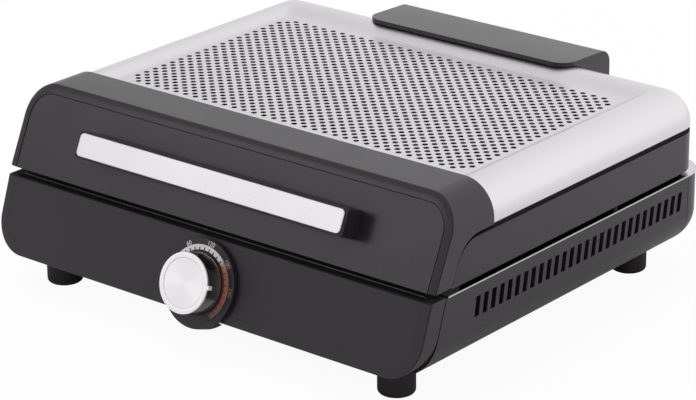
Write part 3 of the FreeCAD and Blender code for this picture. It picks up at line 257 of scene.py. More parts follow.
def nonStick():
    s = sprayedCoat
    finish, tree, place = newFinish("nonStickCoating", IOR=1.4)
    flecks = addNode(tree, "ShaderNodeTexVoronoi", {
        "Vector": place, "Scale": 1 / (s["fleck"] * mm)}).outputs["Distance"]
    outside, inside = s["fleckEdge"]
    fleck = addNode(tree, "ShaderNodeMapRange", {
        "Value": flecks, "From Min": outside, "From Max": inside}).outputs["Result"]
    tone = addNode(tree, "ShaderNodeMix", {
        "Factor": fleck, "A": linear(s["dark"]), "B": linear(s["pale"])}, data_type="RGBA").outputs["Result"]
    pebble = addNode(tree, "ShaderNodeTexNoise", {
        "Vector": place, "Scale": 1 / (s["pebble"] * mm), "Detail": 3.0}).outputs["Fac"]
    rough = addNode(tree, "ShaderNodeMapRange", {
        "Value": pebble, "To Min": s["smooth"], "To Max": s["dull"]}).outputs["Result"]
    bump = addNode(tree, "ShaderNodeBump", {
        "Height": pebble, "Strength": s["pebbleShow"], "Distance": s["pebbleDepth"] * mm}).outputs["Normal"]
    return feed(finish, Base_Color=tone, Roughness=rough, Normal=bump)


# Plain drawn or turned metal, fired clay and woven sleeve: one cloudy tone, with a grain of the given size
plainSkin = {"sheenSpread": 0.07, "grainDepth": 0.05}


def plainStock(name, dark, pale, metallic, roughness, grit, show):
    s = plainSkin
    finish, tree, place = newFinish(name, Metallic=metallic)
    grain = addNode(tree, "ShaderNodeTexNoise", {
        "Vector": place, "Scale": 1 / (grit * mm), "Detail": 4.0}).outputs["Fac"]
    tone = addNode(tree, "ShaderNodeMix", {
        "Factor": grain, "A": linear(dark), "B": linear(pale)}, data_type="RGBA").outputs["Result"]
    rough = addNode(tree, "ShaderNodeMapRange", {
        "Value": grain, "To Min": roughness - s["sheenSpread"],
        "To Max": roughness + s["sheenSpread"]}).outputs["Result"]
    bump = addNode(tree, "ShaderNodeBump", {
        "Height": grain, "Strength": show, "Distance": s["grainDepth"] * mm}).outputs["Normal"]
    return feed(finish, Base_Color=tone, Roughness=rough, Normal=bump)


# Grit of 0.3 mm is drawn at 0.6 mm or more, and brush strokes of 0.2 mm at 0.7 mm or more, so that they show
shellBlack = mouldedBlack("mouldedBlackPbt", "#1c1a1c", "#211f21", roughness=0.27, grit=0.7)
hoodBlack = mouldedBlack("mouldedHoodPbt", "#1f1d1f", "#252325", roughness=0.33, grit=0.7)
# the fascia's top land above 79.4 mm lies in the gap under the lid and is painted near black as painted shade
fasciaBlack = mouldedBlack("mouldedFasciaPbt", "#191719", "#1e1c1e", roughness=0.4, grit=0.7, paintedShadeAbove=79.4)
sideBlack = mouldedBlack("mouldedBlackPhenolic", "#1a181a", "#1f1d1f", roughness=0.36, grit=0.7)
# the frame's inner wall above 113.4 mm lies in the seam under the steel cover and is painted near black as
# painted shade
frameBlack = mouldedBlack(
    "mouldedFramePhenolic", "#1a181a", "#1f1d1f", roughness=0.36, grit=0.7, paintedShadeAbove=113.4)
# the grip's black is darker than the shell's, as painted shade for the bar's top, which lies in shadow
gripBlack = mouldedBlack("mouldedGripNylon", "#0e0d0e", "#131213", roughness=0.58, grit=0.8)
footBlack = mouldedBlack("mouldedFootRubber", "#070607", "#0b0a0b", roughness=0.75, grit=0.9)
dialBlack = mouldedBlack("mouldedDialAbs", "#191719", "#1f1d1f", roughness=0.4, grit=0.6)
steelSheet = brushedMetal("brushedStainlessSheet", "#d2cfd2", "#dcd9dc", roughness=0.34, run=70, stroke=0.9)
panSteel = pressedPan()
plateAluminium = brushedMetal(
    "brushedAluminiumPlate", "#dad8da", "#e4e2e4", roughness=0.36, run=45, stroke=0.7)
spunDisc = spunAluminium()
knobChrome = smokedChrome()
inkScale = scaleInk("screenPrintedInk", (
    (0.0, "#e4e1e4"), (0.47, "#dedadb"), (0.53, "#a58c7c"), (0.6, "#94604d"), (0.82, "#8b544c"),
    (1.0, "#5e4443")), roughness=0.42)
# painted shade between the printed band and the knob: near black at the cool end, dark red at the hot end
paintedShadeInk = scaleInk("paintedShadeRing", (
    (0.0, "#121112"), (0.47, "#141112"), (0.58, "#561e12"), (0.85, "#4a1c18"),
    (1.0, "#1c1516")), roughness=0.5)
inkTicks = scaleInk("screenPrintedTicks", (
    (0.0, "#2c2a2c"), (0.47, "#2f2b2c"), (0.54, "#6a4236"), (1.0, "#4d3031")), roughness=0.5)
plateCoat = nonStick()
paintedSteel = mouldedBlack("stovedBlackPaint", "#202021", "#2a2a2b", roughness=0.45, grit=1.1)
zincSteel = plainStock(
    "zincPlatedSteel", "#8f9092", "#b4b5b7", metallic=1.0, roughness=0.34, grit=1.6, show=0.06)
sheath = plainStock(
    "heatTintedSheath", "#4a4440", "#6b625b", metallic=1.0, roughness=0.42, grit=4.0, show=0.1)
firedClay = plainStock(
    "firedSteatite", "#d8d2c4", "#e6e1d5", metallic=0.0, roughness=0.55, grit=0.8, show=0.12)
drawnCopper = plainStock(
    "drawnCopper", "#a9623c", "#c98457", metallic=1.0, roughness=0.3, grit=3.0, show=0.05)
wovenLead = plainStock(
    "wovenGlassSleeve", "#b9b3a8", "#d6d1c6", metallic=0.0, roughness=0.7, grit=0.7, show=0.4)
softRubber = mouldedBlack("softBlackRubber", "#090909", "#0f0f0f", roughness=0.85, grit=1.0)
print("finishes made")


def meshPiece(name, mesh, *finishes):
    piece = bpy.data.objects.new(name, mesh)
    bpy.context.scene.collection.objects.link(piece)
    for finish in finishes:
        mesh.materials.append(finish)
    return piece


def smoothByAngle(mesh, degrees):
    mesh.polygons.foreach_set("use_smooth", [True] * len(mesh.polygons))
    mesh.set_sharp_from_angle(angle=math.radians(degrees))


def pieceFrom(build, name, finish, sharpAbove=None):
    mesh = bpy.data.meshes.new(name)
    build.to_mesh(mesh)
    build.free()
    if sharpAbove:
        smoothByAngle(mesh, sharpAbove)
    return meshPiece(name, mesh, finish)


def settle(piece):
    # the evaluated shape becomes a plain mesh, and the modifiers go
    evaluated = piece.evaluated_get(bpy.context.evaluated_depsgraph_get())
    mesh = bpy.data.meshes.new_from_object(evaluated)
    piece.modifiers.clear()
    piece.data = mesh


def carry(piece, body, *nodes, slotLike=None):
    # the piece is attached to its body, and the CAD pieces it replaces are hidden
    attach(piece, body)
    if nodes:
        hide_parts(*nodes)


def openOutline(half, near, far, corner, steps):
    # from the near left, round the two far corners, to the near right
    way = math.copysign(1, far - near)
    left = []
    for step in range(steps + 1):
        turn = math.pi / 2 * step / steps
        left.append((corner - half - corner * math.cos(turn), far - way * corner * (1 - math.sin(turn))))
    right = [(-across, along) for across, along in reversed(left)]
    return [(-half, near)] + left + right + [(half, near)]


def skinRings(build, rings):
    for first, second in zip(rings, rings[1:]):
        for number in range(len(first) - 1):
            build.faces.new((first[number], first[number + 1], second[number + 1], second[number]))


def skinTube(build, rings):
    skinRings(build, rings + rings[:1])
    build.faces.new([ring[0] for ring in rings])
    build.faces.new([ring[-1] for ring in rings])
    bmesh.ops.recalc_face_normals(build, faces=build.faces)


def boxBuild(size, middle):
    build = bmesh.new()
    bmesh.ops.create_cube(build, size=1.0)
    build.transform(Matrix.Translation(middle * mm) @ Matrix.Diagonal(size * mm).to_4x4())
    return build


def roundEdges(build, radius):
    bmesh.ops.bevel(
        build, geom=build.edges[:], offset=radius * mm, segments=edgeWork["steps"], affect="EDGES")


# Moulded and pressed pieces keep the CAD form, and get the small round edges that a tool leaves
edgeWork = {"weld": 0.002, "flatWithin": 0.4, "sharpAbove": 32, "steps": 2}


def softEdged(node, name, finish, edge):
    e = edgeWork
    mesh = frame["nodes"][node].data.copy()
    mesh.materials.clear()
    build = bmesh.new()
    build.from_mesh(mesh)
    bmesh.ops.remove_doubles(build, verts=build.verts, dist=e["weld"] * mm)
    bmesh.ops.dissolve_limit(
        build, angle_limit=math.radians(e["flatWithin"]), verts=build.verts, edges=build.edges)
    build.to_mesh(mesh)
    build.free()
    if "custom_normal" in mesh.attributes:
        mesh.attributes.remove(mesh.attributes["custom_normal"])
    piece = meshPiece(name, mesh, finish)
    smoothByAngle(mesh, e["sharpAbove"])
    bevel = piece.modifiers.new("edges", "BEVEL")
    bevel.width = edge * mm
    bevel.segments = e["steps"]
    bevel.limit_method = "ANGLE"
    bevel.angle_limit = math.radians(e["sharpAbove"])
    bevel.use_clamp_overlap = True
    bevel.harden_normals = True
    settle(piece)
    carry(piece, bodyOf[node], node)


mouldings = {  # CAD piece: (name, finish, edge radius in mm)
    "lid_hood": ("lidHood", hoodBlack, 0.9),
    "lid_frame": ("lidFrame", frameBlack, 0.6),
    "hinge_cover": ("hingeCover", shellBlack, 1.2),
    "front_fascia": ("frontFascia", fasciaBlack, 0.8),
    "base_housing": ("baseHousing", sideBlack, 0.5),
    "rear_cover": ("rearCover", sideBlack, 0.5),
    "handle_bar": ("handleBar", gripBlack, 2.2),
    "cord_gland": ("cordGland", sideBlack, 0.7),
    "foot_front_left": ("footFrontLeft", footBlack, 0.6),
    "foot_front_right": ("footFrontRight", footBlack, 0.6),
    "foot_rear_left": ("footRearLeft", footBlack, 0.6),
    "foot_rear_right": ("footRearRight", footBlack, 0.6),
}
for node, (name, finish, edge) in mouldings.items():
    softEdged(node, name, finish, edge)
print("mouldings dressed")

# Front plates: an edge set back, a sloping border, a fine groove and a flat face;
# the side towards the lid's gap runs through straight
frontPlates = {
    "lid_front_panel": {"name": "lidFrontPlate", "finish": shellBlack, "face": lidFace, "half": 199.2,
                        "far": 145.2, "corner": 24.2, "border": 5.2, "fall": 0.75, "groove": 0.6},
    "control_panel": {"name": "controlPlate", "finish": fasciaBlack, "face": baseFace, "half": 198.2,
                      "far": 26.3, "corner": 26.2, "border": 6.4, "fall": 0.4, "groove": 0.12},
}
plateForm = {"step": 1.5, "plug": 4.5, "plugInset": 6.1, "rimInset": 0.3, "rimDrop": 0.25,
             "bulgeShares": (0.6, 0.3), "grooveStart": 0.2, "grooveStop": 0.8, "grooveEnd": 1.05,
             "arcSteps": 24, "sharpAbove": 25}


def plateRing(s, inset, lift):
    face = s["face"]
    far = s["far"] - math.copysign(inset, s["far"] - face["z"])
    outline = openOutline(s["half"] - inset, face["z"], far, s["corner"] - inset, plateForm["arcSteps"])
    run = math.hypot(1, face["leanShare"])
    return [Vector((x, faceAt(face, z) - lift * run, z)) * mm for x, z in outline]


def makeFrontPlate(node, s):
    f = plateForm
    insetShare, dropShare = f["bulgeShares"]
    border, fall, groove = s["border"], s["fall"], s["groove"]
    profile = [  # (inset from the outline, lift off the face)
        (f["plugInset"], -f["plug"]), (f["plugInset"], -f["step"]), (0, -f["step"]),
        (0, -fall - f["rimDrop"]), (f["rimInset"], -fall), (border * insetShare, -fall * dropShare),
        (border, 0), (border + f["grooveStart"], -groove), (border + f["grooveStop"], -groove),
        (border + f["grooveEnd"], 0)]
    build = bmesh.new()
    rings = [[build.verts.new(point) for point in plateRing(s, inset, lift)] for inset, lift in profile]
    skinRings(build, rings)
    build.faces.new(rings[0])
    build.faces.new(rings[-1])
    build.faces.new([ring[0] for ring in rings] + [ring[-1] for ring in reversed(rings)])
    bmesh.ops.recalc_face_normals(build, faces=build.faces)
    carry(pieceFrom(build, s["name"], s["finish"], f["sharpAbove"]), bodyOf[node], node)


for node, sizes in frontPlates.items():
    makeFrontPlate(node, sizes)

# Bright edge of the pan's flange, which shows as a thin line in the gap under the lid
gapTrim = {"half": 189.0, "y": -149.5, "wide": 0.5, "high": 0.45, "round": 0.12, "sharpAbove": 40}


def makeGapTrim():
    g = gapTrim
    middle = Vector((0, g["y"], baseFace["z"] + g["high"] / 2))
    build = boxBuild(Vector((2 * g["half"], g["wide"], g["high"])), middle)
    roundEdges(build, g["round"])
    carry(pieceFrom(build, "gapTrim", zincSteel, g["sharpAbove"]), "base", slotLike="inner_pan")


makeGapTrim()
print("front plates and trim made")

# Pieces whose CAD form is right as it stands
kept = {
    "inner_pan": panSteel, "heating_element": sheath, "element_bushes": firedClay,
    "element_terminals": zincSteel, "element_clips": zincSteel, "thermostat": paintedSteel,
    "capillary_sensor": drawnCopper, "terminal_block": firedClay, "lead_wires": wovenLead,
    "service_plate": paintedSteel, "hinge_lug_left": paintedSteel, "hinge_lug_right": paintedSteel,
    "hinge_arm_left": paintedSteel, "hinge_arm_right": paintedSteel, "hinge_pin_left": zincSteel,
    "hinge_pin_right": zincSteel, "lid_rests": softRubber, "knob_shaft": zincSteel,
    "grill_plate": plateCoat, "handle_screws": zincSteel, "hinge_screws": zincSteel,
    "foot_screws": zincSteel, "service_screws": zincSteel,
}
for node, finish in kept.items():
    slots = frame["nodes"][node].data.materials
    slots.clear()
    slots.append(finish)

# Steel cover: rings from the lower edge, over the rolled shoulder and down the soft step to the recess;
# the plans of step and floor hold the half width, the rear edge and the corner radius
steelCover = {
    "halfWidth": 199.7, "front": -88.8, "rear": 168.15, "bottom": 117.5, "top": 143.7, "roll": 24.6,
    "planCorner": 25.2, "stepPlan": (174.6, 142.0, 9.0), "floorPlan": (162.6, 120.65, 5.0), "floor": 138.9,
    "leastCorner": 0.4, "tuck": 0.05, "sheet": 0.8, "arcSteps": 14, "rollSteps": 14, "stepSteps": 8,
    "uprightShare": 0.001, "sharpAbove": 40,
}
perforation = {"pitch": 9.547, "columns": 34, "rows": 20, "holeRadius": 2.25, "firstRow": -67.45, "rim": 12,
               "overlap": 0.6, "weld": 0.02}


def coverRing(half, rear, corner, level, front=steelCover["front"]):
    s = steelCover
    outline = openOutline(half, front, rear, max(corner, s["leastCorner"]), s["arcSteps"])
    return [Vector((x, y, level)) * mm for x, y in outline]


def thicken(piece):
    sheet = piece.modifiers.new("sheet", "SOLIDIFY")
    sheet.thickness = steelCover["sheet"] * mm
    sheet.offset = -1.0
    settle(piece)


def makeCover():
    s = steelCover
    p = perforation
    rings = [coverRing(s["halfWidth"], s["rear"], s["planCorner"], s["bottom"])]
    for step in range(s["rollSteps"] + 1):
        turn = math.pi / 2 * step / s["rollSteps"]
        inward = s["roll"] * (1 - math.cos(turn))
        rings.append(coverRing(s["halfWidth"] - inward, s["rear"] - inward, s["planCorner"] - inward,
                               s["top"] - s["roll"] * (1 - math.sin(turn))))
    for step in range(s["stepSteps"] + 1):
        part = step / s["stepSteps"]
        half, rear, corner = (high + (low - high) * part for high, low in zip(s["stepPlan"], s["floorPlan"]))
        drop = part * part * (3 - 2 * part)  # level at both ends
        rings.append(coverRing(half, rear, corner, s["top"] + (s["floor"] - s["top"]) * drop))
    # the sheet reaches a little under the edge of the perforated field, whose bricks are half a pitch deep
    edge = p["pitch"] / 4 - p["overlap"]
    fieldHalf = p["pitch"] * p["columns"] / 2 - p["overlap"]
    fieldRear = p["firstRow"] + p["pitch"] * (p["rows"] - 1) + edge
    fieldFront = p["firstRow"] - edge
    tucked = s["floor"] - s["tuck"]
    rings.append(coverRing(fieldHalf, fieldRear, s["leastCorner"], tucked))
    apron = ((-fieldHalf, s["front"]), (fieldHalf, s["front"]),
             (fieldHalf, fieldFront), (-fieldHalf, fieldFront))
    build = bmesh.new()
    skinRings(build, [[build.verts.new(point) for point in ring] for ring in rings])
    build.faces.new([build.verts.new(Vector((x, y, tucked)) * mm) for x, y in apron])
    build.normal_update()
    for face in build.faces:  # all faces look up or out
        upright = abs(face.normal.z) <= s["uprightShare"]
        looksIn = face.normal.dot(face.calc_center_median()) < 0 if upright else face.normal.z < 0
        if looksIn:
            face.normal_flip()
    piece = pieceFrom(build, "steelCover", steelSheet)
    thicken(piece)
    smoothByAngle(piece.data, s["sharpAbove"])  # after the thickness, so that the cut edge stays sharp
    carry(piece, "lid", "lid_cover")


def newTree(name, inputs):
    tree = bpy.data.node_groups.new(name, "GeometryNodeTree")
    tree.interface.new_socket("Geometry", in_out="OUTPUT", socket_type="NodeSocketGeometry")
    for socket, kind in inputs.items():
        tree.interface.new_socket(socket, in_out="INPUT", socket_type="NodeSocket" + kind)
    return tree, addNode(tree, "NodeGroupInput").outputs


# Perforated field: a brick with one round hole, laid in a running bond, so that the rows are offset
def perforationTree():
    tree, given = newTree("perforatedField", {
        "Pitch": "Float", "Columns": "Int", "Rows": "Int", "Hole Radius": "Float", "Hole Sides": "Int",
        "Centre": "Vector", "Weld": "Float", "Finish": "Material"})
    pitch, columns, rows = given["Pitch"], given["Columns"], given["Rows"]
    half = addNode(tree, "ShaderNodeMath", {0: pitch, 1: 0.5}, operation="MULTIPLY").outputs[0]
    brick = addNode(tree, "GeometryNodeCurvePrimitiveQuadrilateral", {
        "Width": pitch, "Height": half}).outputs["Curve"]
    # six points: the corners and the middles of the long sides, where the next row's corners meet
    brick = addNode(tree, "GeometryNodeResampleCurve", {"Curve": brick, "Count": 6}).outputs["Curve"]
    hole = addNode(tree, "GeometryNodeCurvePrimitiveCircle", {
        "Radius": given["Hole Radius"], "Resolution": given["Hole Sides"]}).outputs["Curve"]
    outline = addNode(tree, "GeometryNodeJoinGeometry")
    for curve in (brick, hole):
        tree.links.new(curve, outline.inputs[0])
    cell = addNode(tree, "GeometryNodeFillCurve", {
        "Curve": outline.outputs[0]}, mode="TRIANGLES").outputs["Mesh"]
    plug = addNode(tree, "GeometryNodeMeshGrid", {
        "Size X": half, "Size Y": half, "Vertices X": 2, "Vertices Y": 2}).outputs["Mesh"]
    blank = addNode(tree, "GeometryNodeMeshGrid", {
        "Size X": pitch, "Size Y": half, "Vertices X": 3, "Vertices Y": 2}).outputs["Mesh"]
    laid = addNode(tree, "GeometryNodeJoinGeometry")

    def layRows(stone, columns, rows, width, depth):
        spans = []
        for count, step in ((columns, width), (rows, depth)):
            steps = addNode(tree, "ShaderNodeMath", {0: count, 1: 1.0}, operation="SUBTRACT").outputs[0]
            span = addNode(tree, "ShaderNodeMath", {0: steps, 1: step}, operation="MULTIPLY")
            spans.append(span.outputs[0])
        spots = addNode(tree, "GeometryNodeMeshGrid", {
            "Size X": spans[0], "Size Y": spans[1], "Vertices X": columns, "Vertices Y": rows})
        stones = addNode(tree, "GeometryNodeInstanceOnPoints", {
            "Points": spots.outputs["Mesh"], "Instance": stone})
        tree.links.new(stones.outputs["Instances"], laid.inputs[0])

    less = {}  # the counts less a half, one or two
    for name, count, by in (("columns", columns, 1.0), ("innerColumns", columns, 2.0), ("ends", columns, 0.5),
                            ("rows", rows, 1.0), ("innerRows", rows, 2.0)):
        less[name] = addNode(tree, "ShaderNodeMath", {0: count, 1: by}, operation="SUBTRACT").outputs[0]
    spans = {name: addNode(tree, "ShaderNodeMath", {0: less[name], 1: pitch}, operation="MULTIPLY").outputs[0]
             for name in ("columns", "ends", "rows")}
    layRows(cell, columns, less["innerRows"], pitch, pitch)
    layRows(cell, less["innerColumns"], 2, pitch, spans["rows"])
    layRows(blank, 2, 2, spans["columns"], spans["rows"])  # no hole in the four corners
    layRows(cell, less["columns"], less["rows"], pitch, pitch)
    layRows(plug, 2, less["rows"], spans["ends"], pitch)
    realized = addNode(tree, "GeometryNodeRealizeInstances", {"Geometry": laid.outputs[0]}).outputs[0]
    moved = addNode(tree, "GeometryNodeTransform", {
        "Geometry": realized, "Translation": given["Centre"]}).outputs[0]
    merged = addNode(tree, "GeometryNodeMergeByDistance", {
        "Geometry": moved, "Distance": given["Weld"]}).outputs[0]
    painted = addNode(tree, "GeometryNodeSetMaterial", {
        "Geometry": merged, "Material": given["Finish"]}).outputs[0]
    addNode(tree, "NodeGroupOutput", {0: painted})
    return tree


def growPiece(name, tree, values):
    piece = meshPiece(name, bpy.data.meshes.new(name))
    grow = piece.modifiers.new("grow", "NODES")
    grow.node_group = tree
    for item in tree.interface.items_tree:
        if item.in_out == "INPUT":
            grow[item.identifier] = values[item.name]
    settle(piece)
    return piece


def makeField():
    p = perforation
    middle = p["firstRow"] + p["pitch"] * (p["rows"] - 1) / 2
    piece = growPiece("perforatedField", perforationTree(), {
        "Pitch": p["pitch"] * mm, "Columns": p["columns"], "Rows": p["rows"],
        "Hole Radius": p["holeRadius"] * mm, "Hole Sides": p["rim"],
        "Centre": (0.0, middle * mm, steelCover["floor"] * mm), "Weld": p["weld"] * mm, "Finish": steelSheet})
    thicken(piece)
    print("perforated field has", len(piece.data.polygons), "faces")
    carry(piece, "lid", "grille_panel")


makeCover()
makeField()
print("steel top made")

# Soft dark strip inside the lower edge of the lid's frame, which keeps light out of the gap: a dark piece put
# where the gap shows only shade
gapShadeStrip = {"half": 195.1, "front": -118.0, "rear": 163.2, "corner": 20.3, "wide": 2.2, "low": 80.1,
           "high": 86.0, "round": 0.5, "sharpAbove": 40}


def makeGapShadeStrip():
    s = gapShadeStrip
    section = [  # (inset from the outside, height)
        (s["round"], s["low"]), (0, s["low"] + s["round"]), (0, s["high"]), (s["wide"], s["high"]),
        (s["wide"], s["low"] + s["round"]), (s["wide"] - s["round"], s["low"])]
    build = bmesh.new()
    rings = []
    for inset, level in section:
        ring = coverRing(s["half"] - inset, s["rear"] - inset, s["corner"] - inset, level, s["front"])
        rings.append([build.verts.new(point) for point in ring])
    skinTube(build, rings)
    carry(pieceFrom(build, "gapShadeStrip", softRubber, s["sharpAbove"]), "lid", slotLike="lid_rests")


makeGapShadeStrip()
print("seal made")


def onDial(radius, degrees, height):
    turn = math.radians(degrees)
    return Vector((radius * math.cos(turn), radius * math.sin(turn), height)) * mm


# Turned pieces of the dial: a profile of (radius, height) pairs in mm, spun round the dial's axis
turning = {"steps": 96, "sharpAbove": 35}


def turned(name, profile, finish):
    steps = turning["steps"]
    build = bmesh.new()
    rows = []
    for radius, height in profile:
        count = steps if radius else 1  # on the axis, one point
        rows.append([build.verts.new(onDial(radius, 360 * step / steps, height)) for step in range(count)])
    for low, high in zip(rows, rows[1:]):
        for step in range(steps):
            after = (step + 1) % steps
            corners = [low[step % len(low)], low[after % len(low)],
                       high[after % len(high)], high[step % len(high)]]
            build.faces.new(list(dict.fromkeys(corners)))
    bmesh.ops.recalc_face_normals(build, faces=build.faces)
    build.transform(dialMatrix)
    return pieceFrom(build, name, finish, turning["sharpAbove"])


# Bezel with the dark ring that carries the scale
bezel = {"edge": 0.6, "front": 4.4, "ringFront": 4.8, "ringRadius": 28.0, "ringBore": 10.0,
         "ringChamfer": 0.15}


def makeBezel():
    b = bezel
    softEdged("dial_housing", "dialBezel", dialBlack, b["edge"])
    carry(turned("dialRing", [
        (b["ringBore"], b["front"]), (b["ringRadius"], b["front"]),
        (b["ringRadius"], b["ringFront"] - b["ringChamfer"]),
        (b["ringRadius"] - b["ringChamfer"], b["ringFront"]),
        (b["ringBore"], b["ringFront"]), (b["ringBore"], b["front"])], dialBlack), "base", "dial_ring")


# Scale: a printed band, with a dark ring inside it that is painted shade between the band and the knob,
# tinted from near black to dark red; ticks and numbers;
# warmth runs from 0 at the cool end to 1 at the hot end
scale = {
    "start": 151.0, "end": -51.0, "band": (23.9, 27.7), "paintedShadeRadii": (22.4, 23.8), "bandSteps": 72, "ink": 0.06,
    "inkEdge": 0.05, "ticks": 21, "tickInner": 23.9, "tickOuter": 25.9, "tickWidth": 1.0, "tickHeight": 0.05,
    "numbers": ("60", "120", "180", "240"), "firstNumber": 121.0, "numberStep": -40.0, "numberRadius": 29.6,
    "numberSize": 4.6, "numberInk": 0.04, "numberLift": 0.05,
}


def warmthOf(turn):
    return min(max((scale["start"] - turn) / (scale["start"] - scale["end"]), 0.0), 1.0)


def makeBand(name, inner, outer, finish):
    s = scale
    low = bezel["ringFront"]
    high = low + s["ink"]
    profile = [(inner, low), (inner + s["inkEdge"], high), (outer - s["inkEdge"], high), (outer, low)]
    turns = [s["start"] + (s["end"] - s["start"]) * step / s["bandSteps"]
             for step in range(s["bandSteps"] + 1)]
    build = bmesh.new()
    warmth = build.verts.layers.float.new("warmth")
    rings = [[build.verts.new(onDial(radius, turn, height)) for turn in turns] for radius, height in profile]
    for ring in rings:
        for vert, turn in zip(ring, turns):
            vert[warmth] = warmthOf(turn)
    skinTube(build, rings)
    build.transform(dialMatrix)
    carry(pieceFrom(build, name, finish, turning["sharpAbove"]), "base", slotLike="dial_ring")


def tickTree():
    tree, given = newTree("scaleTicks", {
        "Count": "Int", "Start": "Float", "Sweep": "Float", "Radius": "Float", "Length": "Float",
        "Width": "Float", "Height": "Float", "Level": "Float", "Finish": "Material"})
    level = addNode(tree, "ShaderNodeCombineXYZ", {"Z": given["Level"]}).outputs[0]
    spots = addNode(tree, "GeometryNodeMeshLine", {
        "Count": given["Count"], "Start Location": level, "Offset": (0, 0, 0)}).outputs["Mesh"]
    number = addNode(tree, "GeometryNodeInputIndex").outputs[0]
    last = addNode(tree, "ShaderNodeMath", {0: given["Count"], 1: 1.0}, operation="SUBTRACT").outputs[0]
    share = addNode(tree, "ShaderNodeMath", {0: number, 1: last}, operation="DIVIDE").outputs[0]
    turn = addNode(tree, "ShaderNodeMath", {
        0: share, 1: given["Sweep"], 2: given["Start"]}, operation="MULTIPLY_ADD").outputs[0]
    spin = addNode(tree, "ShaderNodeCombineXYZ", {"Z": turn}).outputs[0]
    stored = addNode(tree, "GeometryNodeStoreNamedAttribute", {
        "Geometry": spots, "Name": "warmth", "Value": share}, data_type="FLOAT", domain="POINT").outputs[0]
    size = addNode(tree, "ShaderNodeCombineXYZ", {
        "X": given["Length"], "Y": given["Width"], "Z": given["Height"]}).outputs[0]
    bar = addNode(tree, "GeometryNodeMeshCube", {"Size": size}).outputs["Mesh"]
    out = addNode(tree, "ShaderNodeCombineXYZ", {"X": given["Radius"]}).outputs[0]
    bar = addNode(tree, "GeometryNodeTransform", {"Geometry": bar, "Translation": out}).outputs[0]
    marks = addNode(tree, "GeometryNodeInstanceOnPoints", {
        "Points": stored, "Instance": bar, "Rotation": spin}).outputs["Instances"]
    realized = addNode(tree, "GeometryNodeRealizeInstances", {"Geometry": marks}).outputs[0]
    painted = addNode(tree, "GeometryNodeSetMaterial", {
        "Geometry": realized, "Material": given["Finish"]}).outputs[0]
    addNode(tree, "NodeGroupOutput", {0: painted})
    return tree


def makeTicks():
    s = scale
    piece = growPiece("scaleTicks", tickTree(), {
        "Count": s["ticks"], "Start": math.radians(s["start"]), "Sweep": math.radians(s["end"] - s["start"]),
        "Radius": (s["tickInner"] + s["tickOuter"]) / 2 * mm,
        "Length": (s["tickOuter"] - s["tickInner"]) * mm, "Width": s["tickWidth"] * mm,
        "Height": s["tickHeight"] * mm, "Level": (bezel["ringFront"] + s["ink"]) * mm, "Finish": inkTicks})
    piece.data.transform(dialMatrix)
    carry(piece, "base", slotLike="dial_ring")


def makeNumbers():
    s = scale
    build = bmesh.new()
    warmth = build.verts.layers.float.new("warmth")
    for number, word in enumerate(s["numbers"]):
        turn = s["firstNumber"] + s["numberStep"] * number
        letters = bpy.data.curves.new("number", "FONT")
        letters.body = word
        letters.size = s["numberSize"] * mm
        letters.align_x = "CENTER"
        letters.align_y = "CENTER"
        letters.extrude = s["numberInk"] * mm
        holder = bpy.data.objects.new("number", letters)
        bpy.context.scene.collection.objects.link(holder)
        mesh = bpy.data.meshes.new_from_object(holder.evaluated_get(bpy.context.evaluated_depsgraph_get()))
        bpy.data.objects.remove(holder)
        middle = onDial(s["numberRadius"], turn, bezel["front"] + s["numberLift"])
        mesh.transform(Matrix.Translation(middle) @ Matrix.Rotation(math.radians(turn - 90), 4, "Z"))
        before = len(build.verts)
        build.from_mesh(mesh)
        build.verts.ensure_lookup_table()
        for vert in build.verts[before:]:
            vert[warmth] = warmthOf(turn)
    build.transform(dialMatrix)
    carry(pieceFrom(build, "scaleNumbers", inkScale), "base", slotLike="dial_ring")


makeBezel()
makeBand("scaleBand", *scale["band"], inkScale)
makeBand("paintedShadeBand", *scale["paintedShadeRadii"], paintedShadeInk)
makeTicks()
makeNumbers()

# Knob: a turned body in smoked chrome and a spun disc, sunk inside its rim; each pair is an inset from the
# radius, with a height over the back or a depth under the front or the sunk floor
knob = {
    "back": 5.3, "radius": 22.4, "front": 19.5, "bore": 3.2, "boreSink": 0.1, "backSink": 0.6,
    "foot": ((1.4, 0.6), (1.0, 0), (0.2, 0), (0, 0.3), (0, 1.4), (0.25, 1.8)),
    "shoulder": ((0.5, 1.2), (0.7, 0.4), (1.3, 0)),
    "discRadius": 21.8, "discFront": 20.9, "discChamfer": 0.3, "discRim": ((0, 0.45), (0.15, 0.12), (0.5, 0)),
    "sunkRadius": 18.3, "sunk": 0.9, "sunkRim": ((-0.3, 0), (-0.08, 0.1)),
    "sunkGroove": ((0, 0.35), (0.45, 0.35), (0.65, -0.2)), "dish": (9.0, 0.1),
}
# Pointer: a bright tab at the disc's edge, near three o'clock at rest
pointer = {"start": 20.6, "end": 23.4, "half": 1.8, "thick": 4.2, "under": 2.3, "tipShare": 0.75,
           "round": 0.35, "turn": 4.5, "sharpAbove": 40}


def makeKnob():
    k = knob
    sunkBack = (k["bore"], k["back"] + k["backSink"])
    carry(turned("knobBody", [sunkBack] + [
        (k["radius"] - inset, k["back"] + height) for inset, height in k["foot"]] + [
        (k["radius"] - inset, k["front"] - depth) for inset, depth in k["shoulder"]] + [
        (k["bore"], k["front"] - k["boreSink"]), sunkBack], knobChrome), "knob", "knob_body")
    floor = k["discFront"] - k["sunk"]
    dishRadius, dishHeight = k["dish"]
    carry(turned("knobDisc", [
        (0, k["front"]), (k["discRadius"] - k["discChamfer"], k["front"]),
        (k["discRadius"], k["front"] + k["discChamfer"])] + [
        (k["discRadius"] - inset, k["discFront"] - depth) for inset, depth in k["discRim"]] + [
        (k["sunkRadius"] - inset, k["discFront"] - depth) for inset, depth in k["sunkRim"]] + [
        (k["sunkRadius"] - inset, floor - depth) for inset, depth in k["sunkGroove"]] + [
        (dishRadius, floor + dishHeight), (0, floor)], spunDisc), "knob", "knob_cap")


